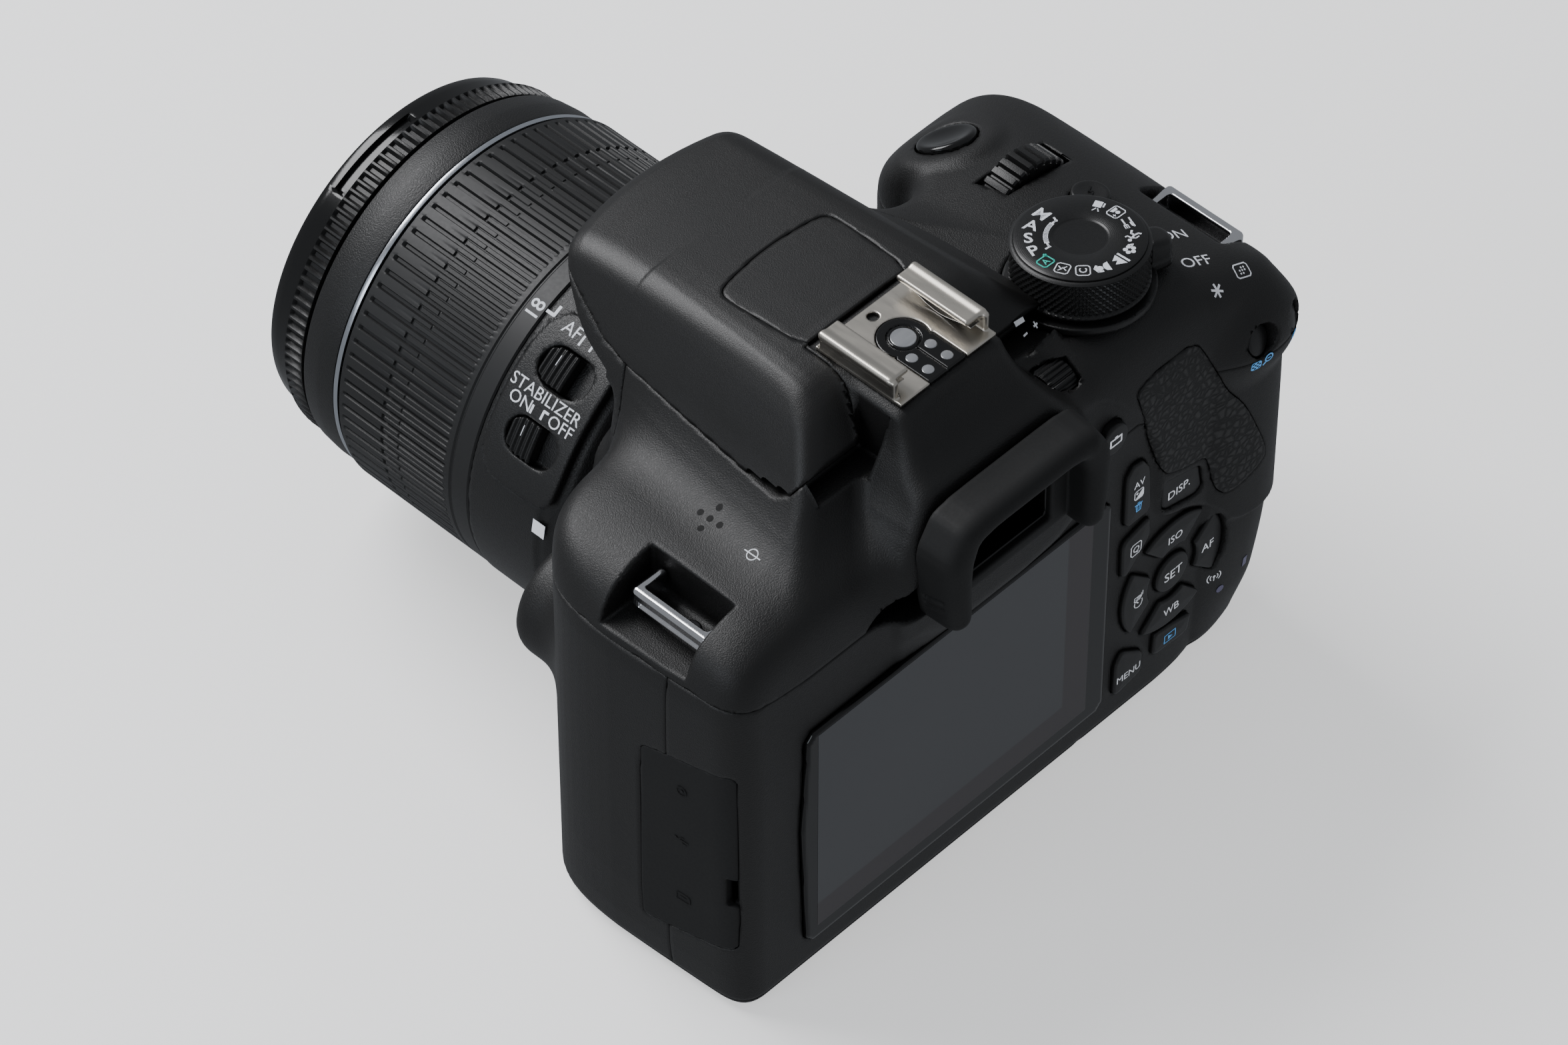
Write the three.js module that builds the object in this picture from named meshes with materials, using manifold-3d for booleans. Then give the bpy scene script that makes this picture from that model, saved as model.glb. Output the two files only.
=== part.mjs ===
// A single-lens-reflex camera with its zoom lens, as separate pieces.
// Millimetres, +Z up. x = 0 and z = AXIS_Z is the lens axis, y = 0 the lens flange, the lens points
// to -Y, the grip is at -X and the port door at +X. The whole group is then moved so that its origin
// is the middle of the camera's own box, on the base.
import * as THREE from "three";
import { mergeVertices } from "three/addons/utils/BufferGeometryUtils.js";
import Module from "manifold-3d";

const wasm = await Module();
wasm.setup();

// ---- driving dimensions ----
const GAP = 0.3; // between pieces that touch
const FIT = 0.35; // round a control in its hole
const WALL = 2;
const WIDTH_GRIP = 73; // lens axis to the grip's side
const WIDTH_PORT = 56; // lens axis to the port side
const GRIP_FRONT = -12;
const REAR_Y = 56.3; // rear cover's face
const GLASS_Y = 57; // display glass
const EYECUP_REAR = 65.6;
const LENS_FRONT = -70.2;
const AXIS_Z = 42;
const BASE_T = 2.2; // bottom cover
const SHOULDER_Z = 67; // seam between the top cover and the covers below it
const SEAM_Y = 41.5; // seam between the front and rear covers
const SHOE_Z = 98; // top of the accessory shoe's base
const SHOE_TOP = 101.3; // top of its rails
const SHOE_Y = 38; // middle of the shoe
const SHOE_HALF = 10.35; // half its width over the rails
const SHOE_SLOT_HALF = 9.3; // half the width between the rails' walls
const SHOE_LIP_HALF = 6.25; // half the gap between the rails' lips
const LID_SIDE_Z = 85; // lower edge of the flash lid's sides
const LID_REAR = 42.3; // the lid's rear edge, beside its hinge
const PLATE_Z = 85.5; // top plate on the grip side
const SOCKET_Y = 24; // tripod socket

// ---- materials ----
const paint = (color, roughness, metalness = 0) =>
  new THREE.MeshStandardMaterial({ color, roughness, metalness });
const BODY = paint(0x17181a, 0.55);
const RUBBER = paint(0x101112, 0.85);
const CONTROL = paint(0x141517, 0.45);
const INNER = paint(0x0a0a0b, 0.7);
const STEEL = paint(0xb9b6ae, 0.3, 1);
const CHROME = paint(0xe4e4e6, 0.12, 1);
const BRASS = paint(0xb08d4a, 0.35, 1);
const GLASS = paint(0x1a1c20, 0.08);
const BOARD = paint(0x1f4a33, 0.6);
const CELL = paint(0x3a3c40, 0.6);

// ---- solids ----
function solid(geometry) {
  geometry.deleteAttribute("normal");
  geometry.deleteAttribute("uv");
  const merged = mergeVertices(geometry, 1e-4);
  return new wasm.Manifold(
    new wasm.Mesh({
      numProp: 3,
      vertProperties: new Float32Array(merged.attributes.position.array),
      triVerts: new Uint32Array(merged.index.array),
    }),
  );
}
const matrixY = new THREE.Matrix4().set(1, 0, 0, 0, 0, 0, -1, 0, 0, 1, 0, 0, 0, 0, 0, 1);
const matrixX = new THREE.Matrix4().set(0, 0, 1, 0, 1, 0, 0, 0, 0, 1, 0, 0, 0, 0, 0, 1);
const shapeOf = (points) => new THREE.Shape(points.map(([a, b]) => new THREE.Vector2(a, b)));
function flat(points, depth, bevel = 0) {
  const t = Math.abs(bevel);
  return new THREE.ExtrudeGeometry(shapeOf(points), {
    depth: depth - 2 * t,
    bevelEnabled: t > 0,
    bevelThickness: t,
    bevelSize: t,
    bevelOffset: -t,
    bevelSegments: 2,
    curveSegments: 6,
  }).translate(0, 0, t);
}
// A section given as points, run along one axis between two places.
const alongZ = (points, z0, z1, bevel) =>
  solid(flat(points, z1 - z0, bevel).translate(0, 0, z0));
const alongY = (points, y0, y1, bevel) =>
  solid(flat(points, y1 - y0, bevel).applyMatrix4(matrixY).translate(0, y1, 0));
const alongX = (points, x0, x1, bevel) =>
  solid(flat(points, x1 - x0, bevel).applyMatrix4(matrixX).translate(x0, 0, 0));
function block(x0, x1, y0, y1, z0, z1) {
  const box = new THREE.BoxGeometry(x1 - x0, y1 - y0, z1 - z0);
  return solid(box.translate((x0 + x1) / 2, (y0 + y1) / 2, (z0 + z1) / 2));
}
// A solid of revolution about the y axis through (x, z); the profile holds (radius, y) pairs.
function turned(profile, sides = 32, x = 0, z = AXIS_Z) {
  const points = profile.map(([r, y]) => new THREE.Vector2(r, y));
  return solid(new THREE.LatheGeometry(points, sides).translate(x, 0, z));
}
const disc = (r, y0, y1, sides, x, z) => turned([[0, y0], [r, y0], [r, y1], [0, y1]], sides, x, z);
const ring = (inner, outer, y0, y1, sides, x, z) =>
  turned([[inner, y0], [outer, y0], [outer, y1], [inner, y1], [inner, y0]], sides, x, z);
// A round piece standing on (x, y), leaning by its tilt, from its own height h0 to h1.
function upright(r, h0, h1, sides, place) {
  const cylinder = new THREE.CylinderGeometry(r, r, h1 - h0, sides).translate(0, (h0 + h1) / 2, 0);
  return solid(cylinder.rotateX(Math.PI / 2).applyMatrix4(place));
}
const leaning = (x, y, z, aboutX = 0, aboutY = 0) =>
  new THREE.Matrix4().makeRotationFromEuler(new THREE.Euler(aboutX, aboutY, 0)).setPosition(x, y, z);

// The same outline, moved outwards by d (inwards when d is negative).
function offset(points, d) {
  return points.map((p, i) => {
    const a = points[(i + points.length - 1) % points.length];
    const b = points[(i + 1) % points.length];
    const u = new THREE.Vector2(p[0] - a[0], p[1] - a[1]).normalize();
    const v = new THREE.Vector2(b[0] - p[0], b[1] - p[1]).normalize();
    const mitre = new THREE.Vector2(u.y + v.y, -u.x - v.x);
    const scale = (2 * d) / mitre.lengthSq();
    return [p[0] + mitre.x * scale, p[1] + mitre.y * scale];
  });
}
const circle = (x, y, r, sides) =>
  Array.from({ length: sides }, (_, i) => {
    const t = (2 * Math.PI * i) / sides;
    return [x + r * Math.cos(t), y + r * Math.sin(t)];
  });
const areaOf = (points) => THREE.ShapeUtils.area(points.map(([x, y]) => ({ x, y })));
const anticlockwise = (points) => (areaOf(points) < 0 ? [...points].reverse() : points);
const mirrored = (half) => [...half, ...half.map(([a, b]) => [-a, b]).reverse()];

// ---- outlines ----
// Plan of the body, seen from above, anticlockwise from the rear corner on the port side.
function bodyPlan() {
  const s = new THREE.Shape();
  s.moveTo(48, REAR_Y);
  s.lineTo(-50, REAR_Y);
  s.quadraticCurveTo(-54, 58.4, -60, 58.4);
  s.quadraticCurveTo(-70, 58, -71.5, 50);
  s.lineTo(-WIDTH_GRIP, 24);
  s.quadraticCurveTo(-WIDTH_GRIP, GRIP_FRONT, -56, GRIP_FRONT);
  s.quadraticCurveTo(-41, GRIP_FRONT, -39.5, 1);
  s.quadraticCurveTo(-38.5, 6, -34, 6);
  s.lineTo(34, 6);
  s.quadraticCurveTo(WIDTH_PORT, 10, WIDTH_PORT, 30);
  s.lineTo(54, 50);
  s.quadraticCurveTo(53.5, REAR_Y, 48, REAR_Y);
  const points = s.getPoints(6).map((p) => [p.x, p.y]);
  points.pop();
  return points;
}
const plan = bodyPlan();
const planInside = offset(plan, -WALL);

// Rear controls, as (x, z) outlines on the rear face.
const KEY_X = -43.1;
const KEY_Z = 26.3;
function keyOutline(middle) {
  const inner = 5.8;
  const outer = 11.8;
  const half = 0.62;
  const points = [];
  for (let i = 0; i <= 4; i += 1) points.push([outer, middle - half + (half * i) / 2]);
  for (let i = 4; i >= 0; i -= 1) points.push([inner, middle - 0.78 * half + (0.78 * half * i) / 2]);
  return points.map(([r, t]) => [KEY_X + r * Math.cos(t), KEY_Z + r * Math.sin(t)]);
}
const REAR_BUTTONS = {
  exposure_button: [[-37, 45.8], [-30.9, 45.6], [-30.9, 57], [-32.3, 58.8], [-34.6, 58.6], [-36.3, 56]],
  quick_button: [[-30.7, 34.8], [-30.6, 42.4], [-36.9, 44.1], [-37.2, 39.8], [-31.9, 34.2]],
  display_button: [[-39.5, 43.2], [-39.2, 50.1], [-48, 47.7], [-48.9, 42.2], [-47.4, 41.2]],
  playback_button: [[-39.3, 9.2], [-39.6, 14.2], [-43.5, 13.7], [-48.4, 12.6], [-47.6, 8.8]],
  menu_button: [[-30.2, 6.8], [-30.3, 14.4], [-31.8, 16.4], [-36.8, 12.9], [-36.8, 8.2]],
  set_button: circle(KEY_X, KEY_Z, 3.8, 16),
  live_view_button: circle(-27, 69.3, 3, 12),
  key_right: keyOutline(Math.PI),
  key_left: keyOutline(0),
  key_up: keyOutline(Math.PI / 2),
  key_down: keyOutline(-Math.PI / 2),
};
for (const name of Object.keys(REAR_BUTTONS)) REAR_BUTTONS[name] = anticlockwise(REAR_BUTTONS[name]);
const THUMB_PAD = anticlockwise([
  [-34, 70.8], [-38.6, 55], [-39.4, 52.4], [-49, 49.6], [-50.6, 41.4], [-53, 39.2], [-61, 42], [-62.5, 50],
  [-58, 60], [-54, 66], [-40, 66],
]);

// Side profile (y, z) of the middle housing with the flash lid, and its half front profile (x, z).
const HOUSING_SIDE = [
  [1, 66], [57.8, 66], [57.8, 80], [53, 84.4], [LID_REAR, 84.4], [41.4, 90], [37.4, 95.6], [32.4, 98.2],
  [26, 98.2], [-15, 94.6], [-17, 91.5], [-14, 84.5], [-5, 79.5], [1, 78.6],
];
// Side profile of the shoe's pedestal, which stands behind and between the lid's arms.
const PEDESTAL_SIDE = [[26, 66], [57.8, 66], [57.8, 86], [52, 90], [47.6, SHOE_Z - GAP], [26, SHOE_Z - GAP]];
const HOUSING_FRONT = mirrored([[27, 66], [24.5, 80], [22.3, LID_SIDE_Z], [17.8, 96], [15.5, 98.4]]);

// ---- the body's covers ----
const TOP_CONTROLS = {
  mode_dial: leaning(-36.2, 41, 86.6, 0.078, -0.061),
  flash_button: leaning(-52.3, 28.6, 83.4, 0.05, -0.16),
  shutter_button: leaning(-49.5, 1.5, 78.2, 0.52, -0.1),
  autoexposure_lock_button: leaning(-57.3, 57.5, 69, -1.2, -0.25),
  focus_point_button: leaning(-65.2, 57, 67.6, -1.2, -0.5),
};

const lower = alongZ(plan, 0, SHOULDER_Z - GAP / 2, 2.4).subtract(alongZ(planInside, BASE_T, SHOULDER_Z));
const farX = 90;
const farZ = 120;
function cutBox(y0, y1, z0, z1) {
  return block(-farX, farX, y0, y1, z0, z1);
}
const rearHoles = Object.values(REAR_BUTTONS)
  .map((outline) => alongY(offset(outline, FIT), REAR_Y - 4, REAR_Y + 4))
  .reduce((a, b) => a.add(b));
function polar(r, degrees) {
  const t = (degrees * Math.PI) / 180;
  return [r * Math.cos(t), r * Math.sin(t)];
}
const LEVER_ON = 162; // where the power lever points, in degrees round the dial
const LEVER_TURN = 20;
const LEVER_HALF = 12; // half its tab's width, in degrees
const LEVER_REACH = 17.4;
const leverRecess = [[0, 0]];
for (let i = 0; i <= 8; i += 1) {
  const start = LEVER_ON - LEVER_TURN - LEVER_HALF - 3;
  leverRecess.push(polar(LEVER_REACH + 0.7, start + (i * (LEVER_TURN + 2 * LEVER_HALF + 6)) / 8));
}
const WHEEL_X = -49.5;
const WHEEL_Y = [13.9, 19.1];
const WHEEL_Z = 76.1;
const WHEEL_R = 9.2;
const onDial = (points, h0, h1) => alongZ(points, h0, h1).transform(TOP_CONTROLS.mode_dial.elements);
const topHoles = upright(12.4, -2.2, 14, 24, TOP_CONTROLS.mode_dial)
  .add(upright(3.6, -9, 1, 12, TOP_CONTROLS.mode_dial))
  .add(onDial(leverRecess, -2.2, 14))
  .add(upright(3.1 + FIT, -4, 8, 16, TOP_CONTROLS.flash_button))
  .add(upright(5 + FIT, -5, 8, 20, TOP_CONTROLS.shutter_button))
  .add(upright(2.6 + FIT, -5, 8, 16, TOP_CONTROLS.autoexposure_lock_button))
  .add(upright(2.6 + FIT, -5, 8, 16, TOP_CONTROLS.focus_point_button))
  .add(block(WHEEL_X - WHEEL_R - FIT, WHEEL_X + WHEEL_R + FIT, WHEEL_Y[0] - FIT, WHEEL_Y[1] + FIT, 64, 92));

const PORT_Y = [36.2, 53];
const PORT_Z = [11, 54.4];
const doorway = block(45, 70, PORT_Y[0] - GAP, PORT_Y[1] + GAP, PORT_Z[0] - GAP, PORT_Z[1] + GAP);

const BATTERY_DOOR = [[-69.6, 8], [-65, -4.4], [-57, -8.4], [-49, -8.4], [-43, -3], [-43, 32], [-69.6, 32]];
const glassOutline = anticlockwise([
  [-26, 7], [-27.5, 8.6], [-27.5, 53.5], [-26, 55], [38.4, 55], [39.8, 53.6], [41, 34], [40, 8.6], [38.6, 7],
]);
const MOUNT_HOLE = 29;
const RELEASE_X = 36.5;
const RELEASE_Z = 43;
// The raised round collar that carries the lens mount, with the boss of the release button.
const COLLAR_R = 36;
const releaseBoss = disc(10.4, 3, 12, 20, RELEASE_X, RELEASE_Z).subtract(disc(MOUNT_HOLE + 2, 0, 14, 36));
const collar = ring(MOUNT_HOLE, COLLAR_R, 0.4, 8, 36).add(releaseBoss);

const base = lower.intersect(cutBox(-30, 70, -1, BASE_T - 0.001)); // just short of the inside floor
const walls = lower.intersect(cutBox(-30, 70, BASE_T + GAP, farZ));
const SOCKET_R = 7;
const bottomCover = base
  .subtract(alongZ(offset(BATTERY_DOOR, GAP), -1, 5))
  .subtract(alongZ(circle(0, SOCKET_Y, SOCKET_R + GAP, 24), -1, 5));
const RELEASE_R = 8;
const frontCover = walls
  .intersect(cutBox(-30, SEAM_Y - GAP / 2, -1, farZ))
  .add(collar)
  .subtract(disc(MOUNT_HOLE, -5, 20, 36))
  .subtract(disc(RELEASE_R + FIT, 0, 16, 20, RELEASE_X, RELEASE_Z).subtract(disc(MOUNT_HOLE + 1, -1, 18, 36)))
  .subtract(doorway);
const gripWrap = alongZ(plan, 8, SHOULDER_Z - 1).subtract(alongZ(offset(plan, -1), 7, SHOULDER_Z));
const gripZone = block(-80, -38.5, -20, 20, 9, 62);
const gripRubber = gripWrap.intersect(gripZone);
// The grip rubber lies in a shallow recess of the front cover.
const gripRecess = alongZ(offset(plan, 1), 8.5, 62.5)
  .subtract(alongZ(offset(plan, -1 - GAP), 8, 63))
  .intersect(block(-80, -38.5 + GAP, -20, 20 + GAP, 9 - GAP, 62 + GAP));
const frontCoverTrimmed = frontCover.subtract(gripRecess);
const padSolid = alongY(THUMB_PAD, REAR_Y - 1, REAR_Y + 6);
const padShell = alongZ(offset(plan, 0.5), 20, 80).subtract(alongZ(offset(plan, -0.7), 19, 81));
const thumbRubber = padSolid.intersect(padShell).intersect(cutBox(0, 70, 0, SHOULDER_Z - 1));
const padRecess = alongY(offset(THUMB_PAD, GAP), REAR_Y - 3, REAR_Y + 6)
  .intersect(alongZ(offset(plan, 1), 20, 80).subtract(alongZ(offset(plan, -1), 19, 81)))
  .intersect(cutBox(0, 70, 0, SHOULDER_Z - 1 + GAP));
const rearCover = walls
  .intersect(cutBox(SEAM_Y + GAP / 2, 70, -1, farZ))
  .subtract(doorway)
  .subtract(rearHoles)
  .subtract(topHoles)
  .subtract(alongY(offset(glassOutline, GAP), REAR_Y - 5, REAR_Y + 5))
  .subtract(padRecess);

// Top cover: two shoulders cut to the plan, and the middle housing below the flash lid.
const LEFT_SHOULDER = [[20, 66], [WIDTH_PORT, 66], [54.6, 70], [50, 76.4], [42, 79.4], [20, 83]];
const RIGHT_SHOULDER = [
  [-73.5, 66], [-20, 66], [-20, LID_SIDE_Z - 0.8], [-23, LID_SIDE_Z - 0.4], [-26, PLATE_Z + 0.8],
  [-36, PLATE_Z], [-50, 83.6], [-64, 78.6], [-71, 72],
];
const RIGHT_SIDE = [[-11, 66], [60, 66], [58, 74], [53, 84], [48, 87], [20, 87], [8, 82], [-4, 76], [-9, 71]];
const CORE_HALF = 11; // half the width of the pedestal under the shoe
const inset = (profile, d) => offset(anticlockwise(profile), -d);
function topBody(d) {
  const upper = alongZ(offset(plan, -d), SHOULDER_Z - 3, farZ);
  const left = alongY(inset(LEFT_SHOULDER, d), 12 + d, 70);
  const right = alongY(inset(RIGHT_SHOULDER, d), -30, 70)
    .intersect(alongX(inset(RIGHT_SIDE, d), -80, -20 - d));
  return left.add(right).intersect(upper);
}
function housing(d) {
  const hump = alongX(inset(HOUSING_SIDE, d), -40, 40)
    .intersect(alongY(inset(HOUSING_FRONT, d), -40, 70));
  return hump.add(alongX(inset(PEDESTAL_SIDE, d), d - CORE_HALF, CORE_HALF - d));
}
// The lid parts from the housing along a seam that climbs towards the front.
function seamAbove(up) {
  const seam = [[-30, 91], [-12.5, 90.6], [3, LID_SIDE_Z], [LID_REAR, LID_SIDE_Z]];
  const raised = seam.map(([y, z]) => [y, z + up]);
  return alongX([...raised, [LID_REAR, farZ], [-30, farZ]], -40, 40);
}
const LID_WALL = 1.7;
const CORE_FRONT = 25.6;
const LID_SWING = 1; // the lid's tongue stops this far short of the pedestal, so that it can swing up
const core = (d, ahead = d) => block(-CORE_HALF - d, CORE_HALF + d, CORE_FRONT - ahead, 60, 60, 130);
const lid = housing(0)
  .intersect(seamAbove(GAP / 2))
  .subtract(core(GAP, LID_SWING))
  .subtract(housing(LID_WALL).intersect(seamAbove(-3)));
const lidSpace = housing(-GAP).intersect(seamAbove(-GAP / 2)).subtract(core(0));
const WELL_FLOOR = 80.6;
const well = housing(LID_WALL).intersect(block(-40, 40, -40, CORE_FRONT - 0.8, WELL_FLOOR, 130));
const tunnel = block(-9.2, 9.2, 20, 70, 68, 80);
const shoeSeat = block(-30, 30, 24, 60, SHOE_Z - 0.6 - GAP, 130);
const lugWells = block(42.4, 53.2, 28.6, 46, 69.5, 95).add(block(-90, -60.4, 30, 47, 69.5, 95));
const housingShell = housing(0).subtract(well).subtract(shoeSeat);
const housingInside = housing(WALL)
  .intersect(cutBox(-40, 70, 0, WELL_FLOOR - WALL))
  .subtract(block(-11.6, 11.6, 40, 70, 0, 130))
  .add(block(-8.4, 8.4, 27.6, 44, 60, 95));
const DIOPTER_X = -21.4;
const DIOPTER_Y = 49.4;
const DIOPTER_Z = 80.6;
const DIOPTER_R = 3.4;
const diopterHole = circle(DIOPTER_Y, DIOPTER_Z, DIOPTER_R + FIT, 12);
const diopterSlot = alongX(diopterHole, DIOPTER_X - 2.6, DIOPTER_X + 3.4);
const upperShell = topBody(0)
  .subtract(topBody(WALL))
  .add(housingShell)
  .subtract(lidSpace)
  .subtract(housingInside)
  .subtract(block(-18, 18, 8.4, 45, 60, SHOULDER_Z + 2))
  .intersect(block(-farX, farX, -30, 70, SHOULDER_Z + GAP / 2, farZ))
  .subtract(tunnel)
  .subtract(topHoles)
  .subtract(lugWells)
  .subtract(alongY(offset(REAR_BUTTONS.live_view_button, FIT), REAR_Y - 6, REAR_Y + 6))
  .subtract(diopterSlot);

// The front cover carries on up the front of the housing as far as the flash lid.
const FRONT_SEAM_Y = 4;
const frontZone = (d) => block(-30 - d, 60, -40, FRONT_SEAM_Y + d, 0, farZ);
const frontUpper = upperShell.intersect(frontZone(-GAP / 2)).subtract(disc(MOUNT_HOLE, -30, 20, 36));
const topCover = upperShell
  .subtract(frontZone(GAP / 2))
  .subtract(disc(COLLAR_R + GAP, -5, 8 + GAP, 36));

// The largest body of a cut piece; slivers cut free of it are dropped.
function largest(piece) {
  const parts = piece.decompose();
  return parts.reduce((a, b) => (a.volume() > b.volume() ? a : b));
}

// ---- inside the body ----
const BOX_HALF = 20;
const mirrorBox = block(-BOX_HALF, BOX_HALF, 9, 38.4, 20, 62)
  .subtract(block(-16.5, 16.5, 0, 50, 24, 59.6))
  .subtract(block(-14.6, 14.6, 11.5, 36, 50, 70));
const MIRROR_HINGE = [37, 57];
const MIRROR_LENGTH = 27.5;
const mirrorPose = new THREE.Matrix4()
  .makeRotationX(Math.PI / 4)
  .setPosition(0, MIRROR_HINGE[0], MIRROR_HINGE[1]);
const mirror = block(-13, 13, -MIRROR_LENGTH, 0, -0.6, 0.6).transform(mirrorPose.elements);
const screen = block(-14.2, 14.2, 12, 35.6, 60.2, 61.6);
const PRISM = [[12, 62.2], [35.6, 62.2], [36.4, 68], [36.4, 77.4], [28, 77.6], [10, 70]];
const pentamirror = alongX(PRISM, -13.5, 13.5);
const shutterUnit = block(-19.5, 19.5, 38.9, 41.2, 13, 62)
  .subtract(block(-12.4, 12.4, 30, 50, 33.8, 50.4));
const curtain = block(-13.6, 13.6, 41.6, 42.2, 32.8, 51.4);
const sensor = block(-14, 14, 43.2, 45.8, 31, 53);
const board = block(-31, 45, 47.2, 48.6, 8, 59);
const capacitor = upright(6.2, -17, 17, 20, leaning(-28.4, 30, 32));
const battery = block(-63.4, -48.8, -4, 32, 3, 52);
const card = block(-45.8, -43.7, 2, 26, 4, 36);
const screenPanel = block(-24.4, 38, 50, 53.4, 8.6, 54.4);
const glassPlate = alongY(glassOutline, 54, GLASS_Y, 0.3);
const eyepieceLens = block(-8.6, 8.6, 47, 49.5, 68.6, 79.4);
const socketPlace = leaning(0, SOCKET_Y, 0);
const socket = upright(SOCKET_R, 0.05, 9, 24, socketPlace)
  .subtract(upright(3.2, -1, 7.5, 16, socketPlace));
const portPanel = block(46, 49.6, 37, 51.6, 12.6, 53)
  .subtract(block(47.4, 55, 40.4, 47, 42, 50))
  .subtract(block(47.4, 55, 40.4, 47.6, 28, 37))
  .subtract(block(47.4, 55, 40, 48.6, 16, 23));

// ---- outside pieces of the body ----
const mountRing = ring(22, 28.6, 0.05, 3.2, 48);
const releaseButton = disc(RELEASE_R, 1.6, 6.5, 20, RELEASE_X, RELEASE_Z)
  .subtract(disc(MOUNT_HOLE + 1.4, -5, 20, 36));
const EYECUP_HALF = 17.4;
const eyecupOuter = mirrored([[EYECUP_HALF, 65.2], [EYECUP_HALF + 1, 80], [13.4, 87]]);
const eyecupInner = mirrored([[12.6, 60], [13, 80], [10.6, 83.4]]);
const eyecup = alongY(anticlockwise(eyecupOuter), REAR_Y + 1.8, EYECUP_REAR, 1)
  .subtract(alongY(anticlockwise(eyecupInner), 60.4, 80))
  .subtract(block(-9.2, 9.2, 50, 70, 68, 79.4));
const door = alongZ(plan, PORT_Z[0], PORT_Z[1])
  .subtract(alongZ(planInside, 0, 80))
  .intersect(block(45, 70, PORT_Y[0], PORT_Y[1], 0, 80));
const batteryDoor = alongZ(BATTERY_DOOR, 0.05, BASE_T - GAP / 2);
const SHOE_PLATE = 0.6; // thickness of the bracket's sheet
const shoeLow = SHOE_Z - SHOE_PLATE;
function rail(from, to, bottom) {
  const x0 = Math.min(from, to);
  const x1 = Math.max(from, to);
  return block(x0, x1, SHOE_Y - 8, SHOE_Y + 8, bottom, SHOE_TOP);
}
const bracket = [1, -1]
  .map((side) =>
    rail(SHOE_SLOT_HALF * side, SHOE_HALF * side, shoeLow)
      .add(rail(SHOE_LIP_HALF * side, SHOE_HALF * side, SHOE_TOP - 1.15)),
  )
  .reduce((a, b) => a.add(b), block(-SHOE_HALF, SHOE_HALF, SHOE_Y - 8, 47.2, shoeLow, SHOE_Z))
  .subtract(block(-4, 4, 32, 50, 90, 99));
const shoeInsert = block(-3.6, 3.6, 32.4, 47, shoeLow, SHOE_Z - 0.1)
  .add(block(-3.6, 3.6, 40, 47, shoeLow, SHOE_Z));
// A strap bar: a plate in its well with an open slot, from its outer edge to the body.
const LUG_HALF = 1.9;
const LUG_ARM = 1.6;
function lug(x0, x1, y0, z, slotFrom, slotTo) {
  return block(x0, x1, y0, y0 + 16, z - LUG_HALF, z + LUG_HALF)
    .subtract(block(slotFrom, slotTo, y0 + LUG_ARM, y0 + 16 - LUG_ARM, z - 5, z + 5));
}

// ---- controls ----
const DIAL_R = 11.2;
const LEVER_R = 11.8;
const dial = upright(DIAL_R, 0, 7.4, 36, TOP_CONTROLS.mode_dial)
  .add(upright(3.2, -7, 1, 12, TOP_CONTROLS.mode_dial));
const leverTab = anticlockwise([
  polar(10.6, LEVER_ON - LEVER_HALF),
  polar(10.6, LEVER_ON + LEVER_HALF),
  polar(LEVER_REACH - 1.5, LEVER_ON + LEVER_HALF * 0.7),
  polar(LEVER_REACH, LEVER_ON),
  polar(LEVER_REACH - 1.5, LEVER_ON - LEVER_HALF * 0.7),
]);
const leverTip = onDial(leverTab, -1.8, 1.6)
  .subtract(upright(DIAL_R + 0.4, -0.4, 5, 28, TOP_CONTROLS.mode_dial));
const lever = upright(LEVER_R, -1.9, -0.4, 28, TOP_CONTROLS.mode_dial)
  .add(onDial(leverTab, -1.9, -0.4))
  .add(leverTip)
  .subtract(upright(3.5, -5, 1, 12, TOP_CONTROLS.mode_dial));
const wheel = ring(2, WHEEL_R, WHEEL_Y[0], WHEEL_Y[1], 30, WHEEL_X, WHEEL_Z);
const flashButton = upright(3.1, -3, 1.2, 16, TOP_CONTROLS.flash_button);
const shutterButton = upright(5, -3, 1.6, 20, TOP_CONTROLS.shutter_button);
const lockButton = upright(2.6, -3, 1, 16, TOP_CONTROLS.autoexposure_lock_button);
const pointButton = upright(2.6, -3, 1, 16, TOP_CONTROLS.focus_point_button);
const diopter = alongX(circle(DIOPTER_Y, DIOPTER_Z, DIOPTER_R, 14), DIOPTER_X - 2.2, DIOPTER_X + 3);

// ---- lens ----
const BARREL_END = -22; // where the fixed barrel stops and the zoom ring begins
const bayonet = ring(18, 21.4, -2.6, 5, 48);
const hoop = (profile) => turned([...profile, profile[0]].reverse(), 48);
const rearBarrel = hoop([
  [18, -1.8], [30.6, -1.8], [33, -4.2], [34, -10], [34, BARREL_END], [30.4, BARREL_END], [30.4, -51],
  [29.4, -51], [29.4, -6.4], [18, -5],
]);
const zoomRing = ring(30.8, 33.8, -51.6, BARREL_END - 0.4, 48);
const innerBarrel = hoop([
  [26, -52.4], [26, -8], [29, -8], [29, -52], [33.1, -52], [33.1, -60.6], [26, -60.6],
]);
const focusRing = hoop([
  [25.2, -61], [32.4, -61], [32.4, -65.4], [31, -67], [30.9, LENS_FRONT], [29, LENS_FRONT], [28.6, -66],
  [25.2, -64.6],
]);
const frontGlass = turned([[0, -58], [24.6, -58], [24.6, -62.4], [16, -64.2], [0, -65]].reverse(), 32);
const rearGlass = disc(12, -4, 0.5, 28);
const SWITCH_Y = -12.4;
const onBarrel = (degrees) =>
  new THREE.Matrix4().makeRotationY(-((degrees - 90) * Math.PI) / 180).setPosition(0, 0, AXIS_Z);
const SWITCH_TRAVEL = 3.4;
const FOCUS_SWITCH = 52.6; // places of the two switches round the barrel, in degrees from the port side
const STABILIZER_SWITCH = 32.2;
const knobY = SWITCH_Y - SWITCH_TRAVEL / 2;
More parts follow.
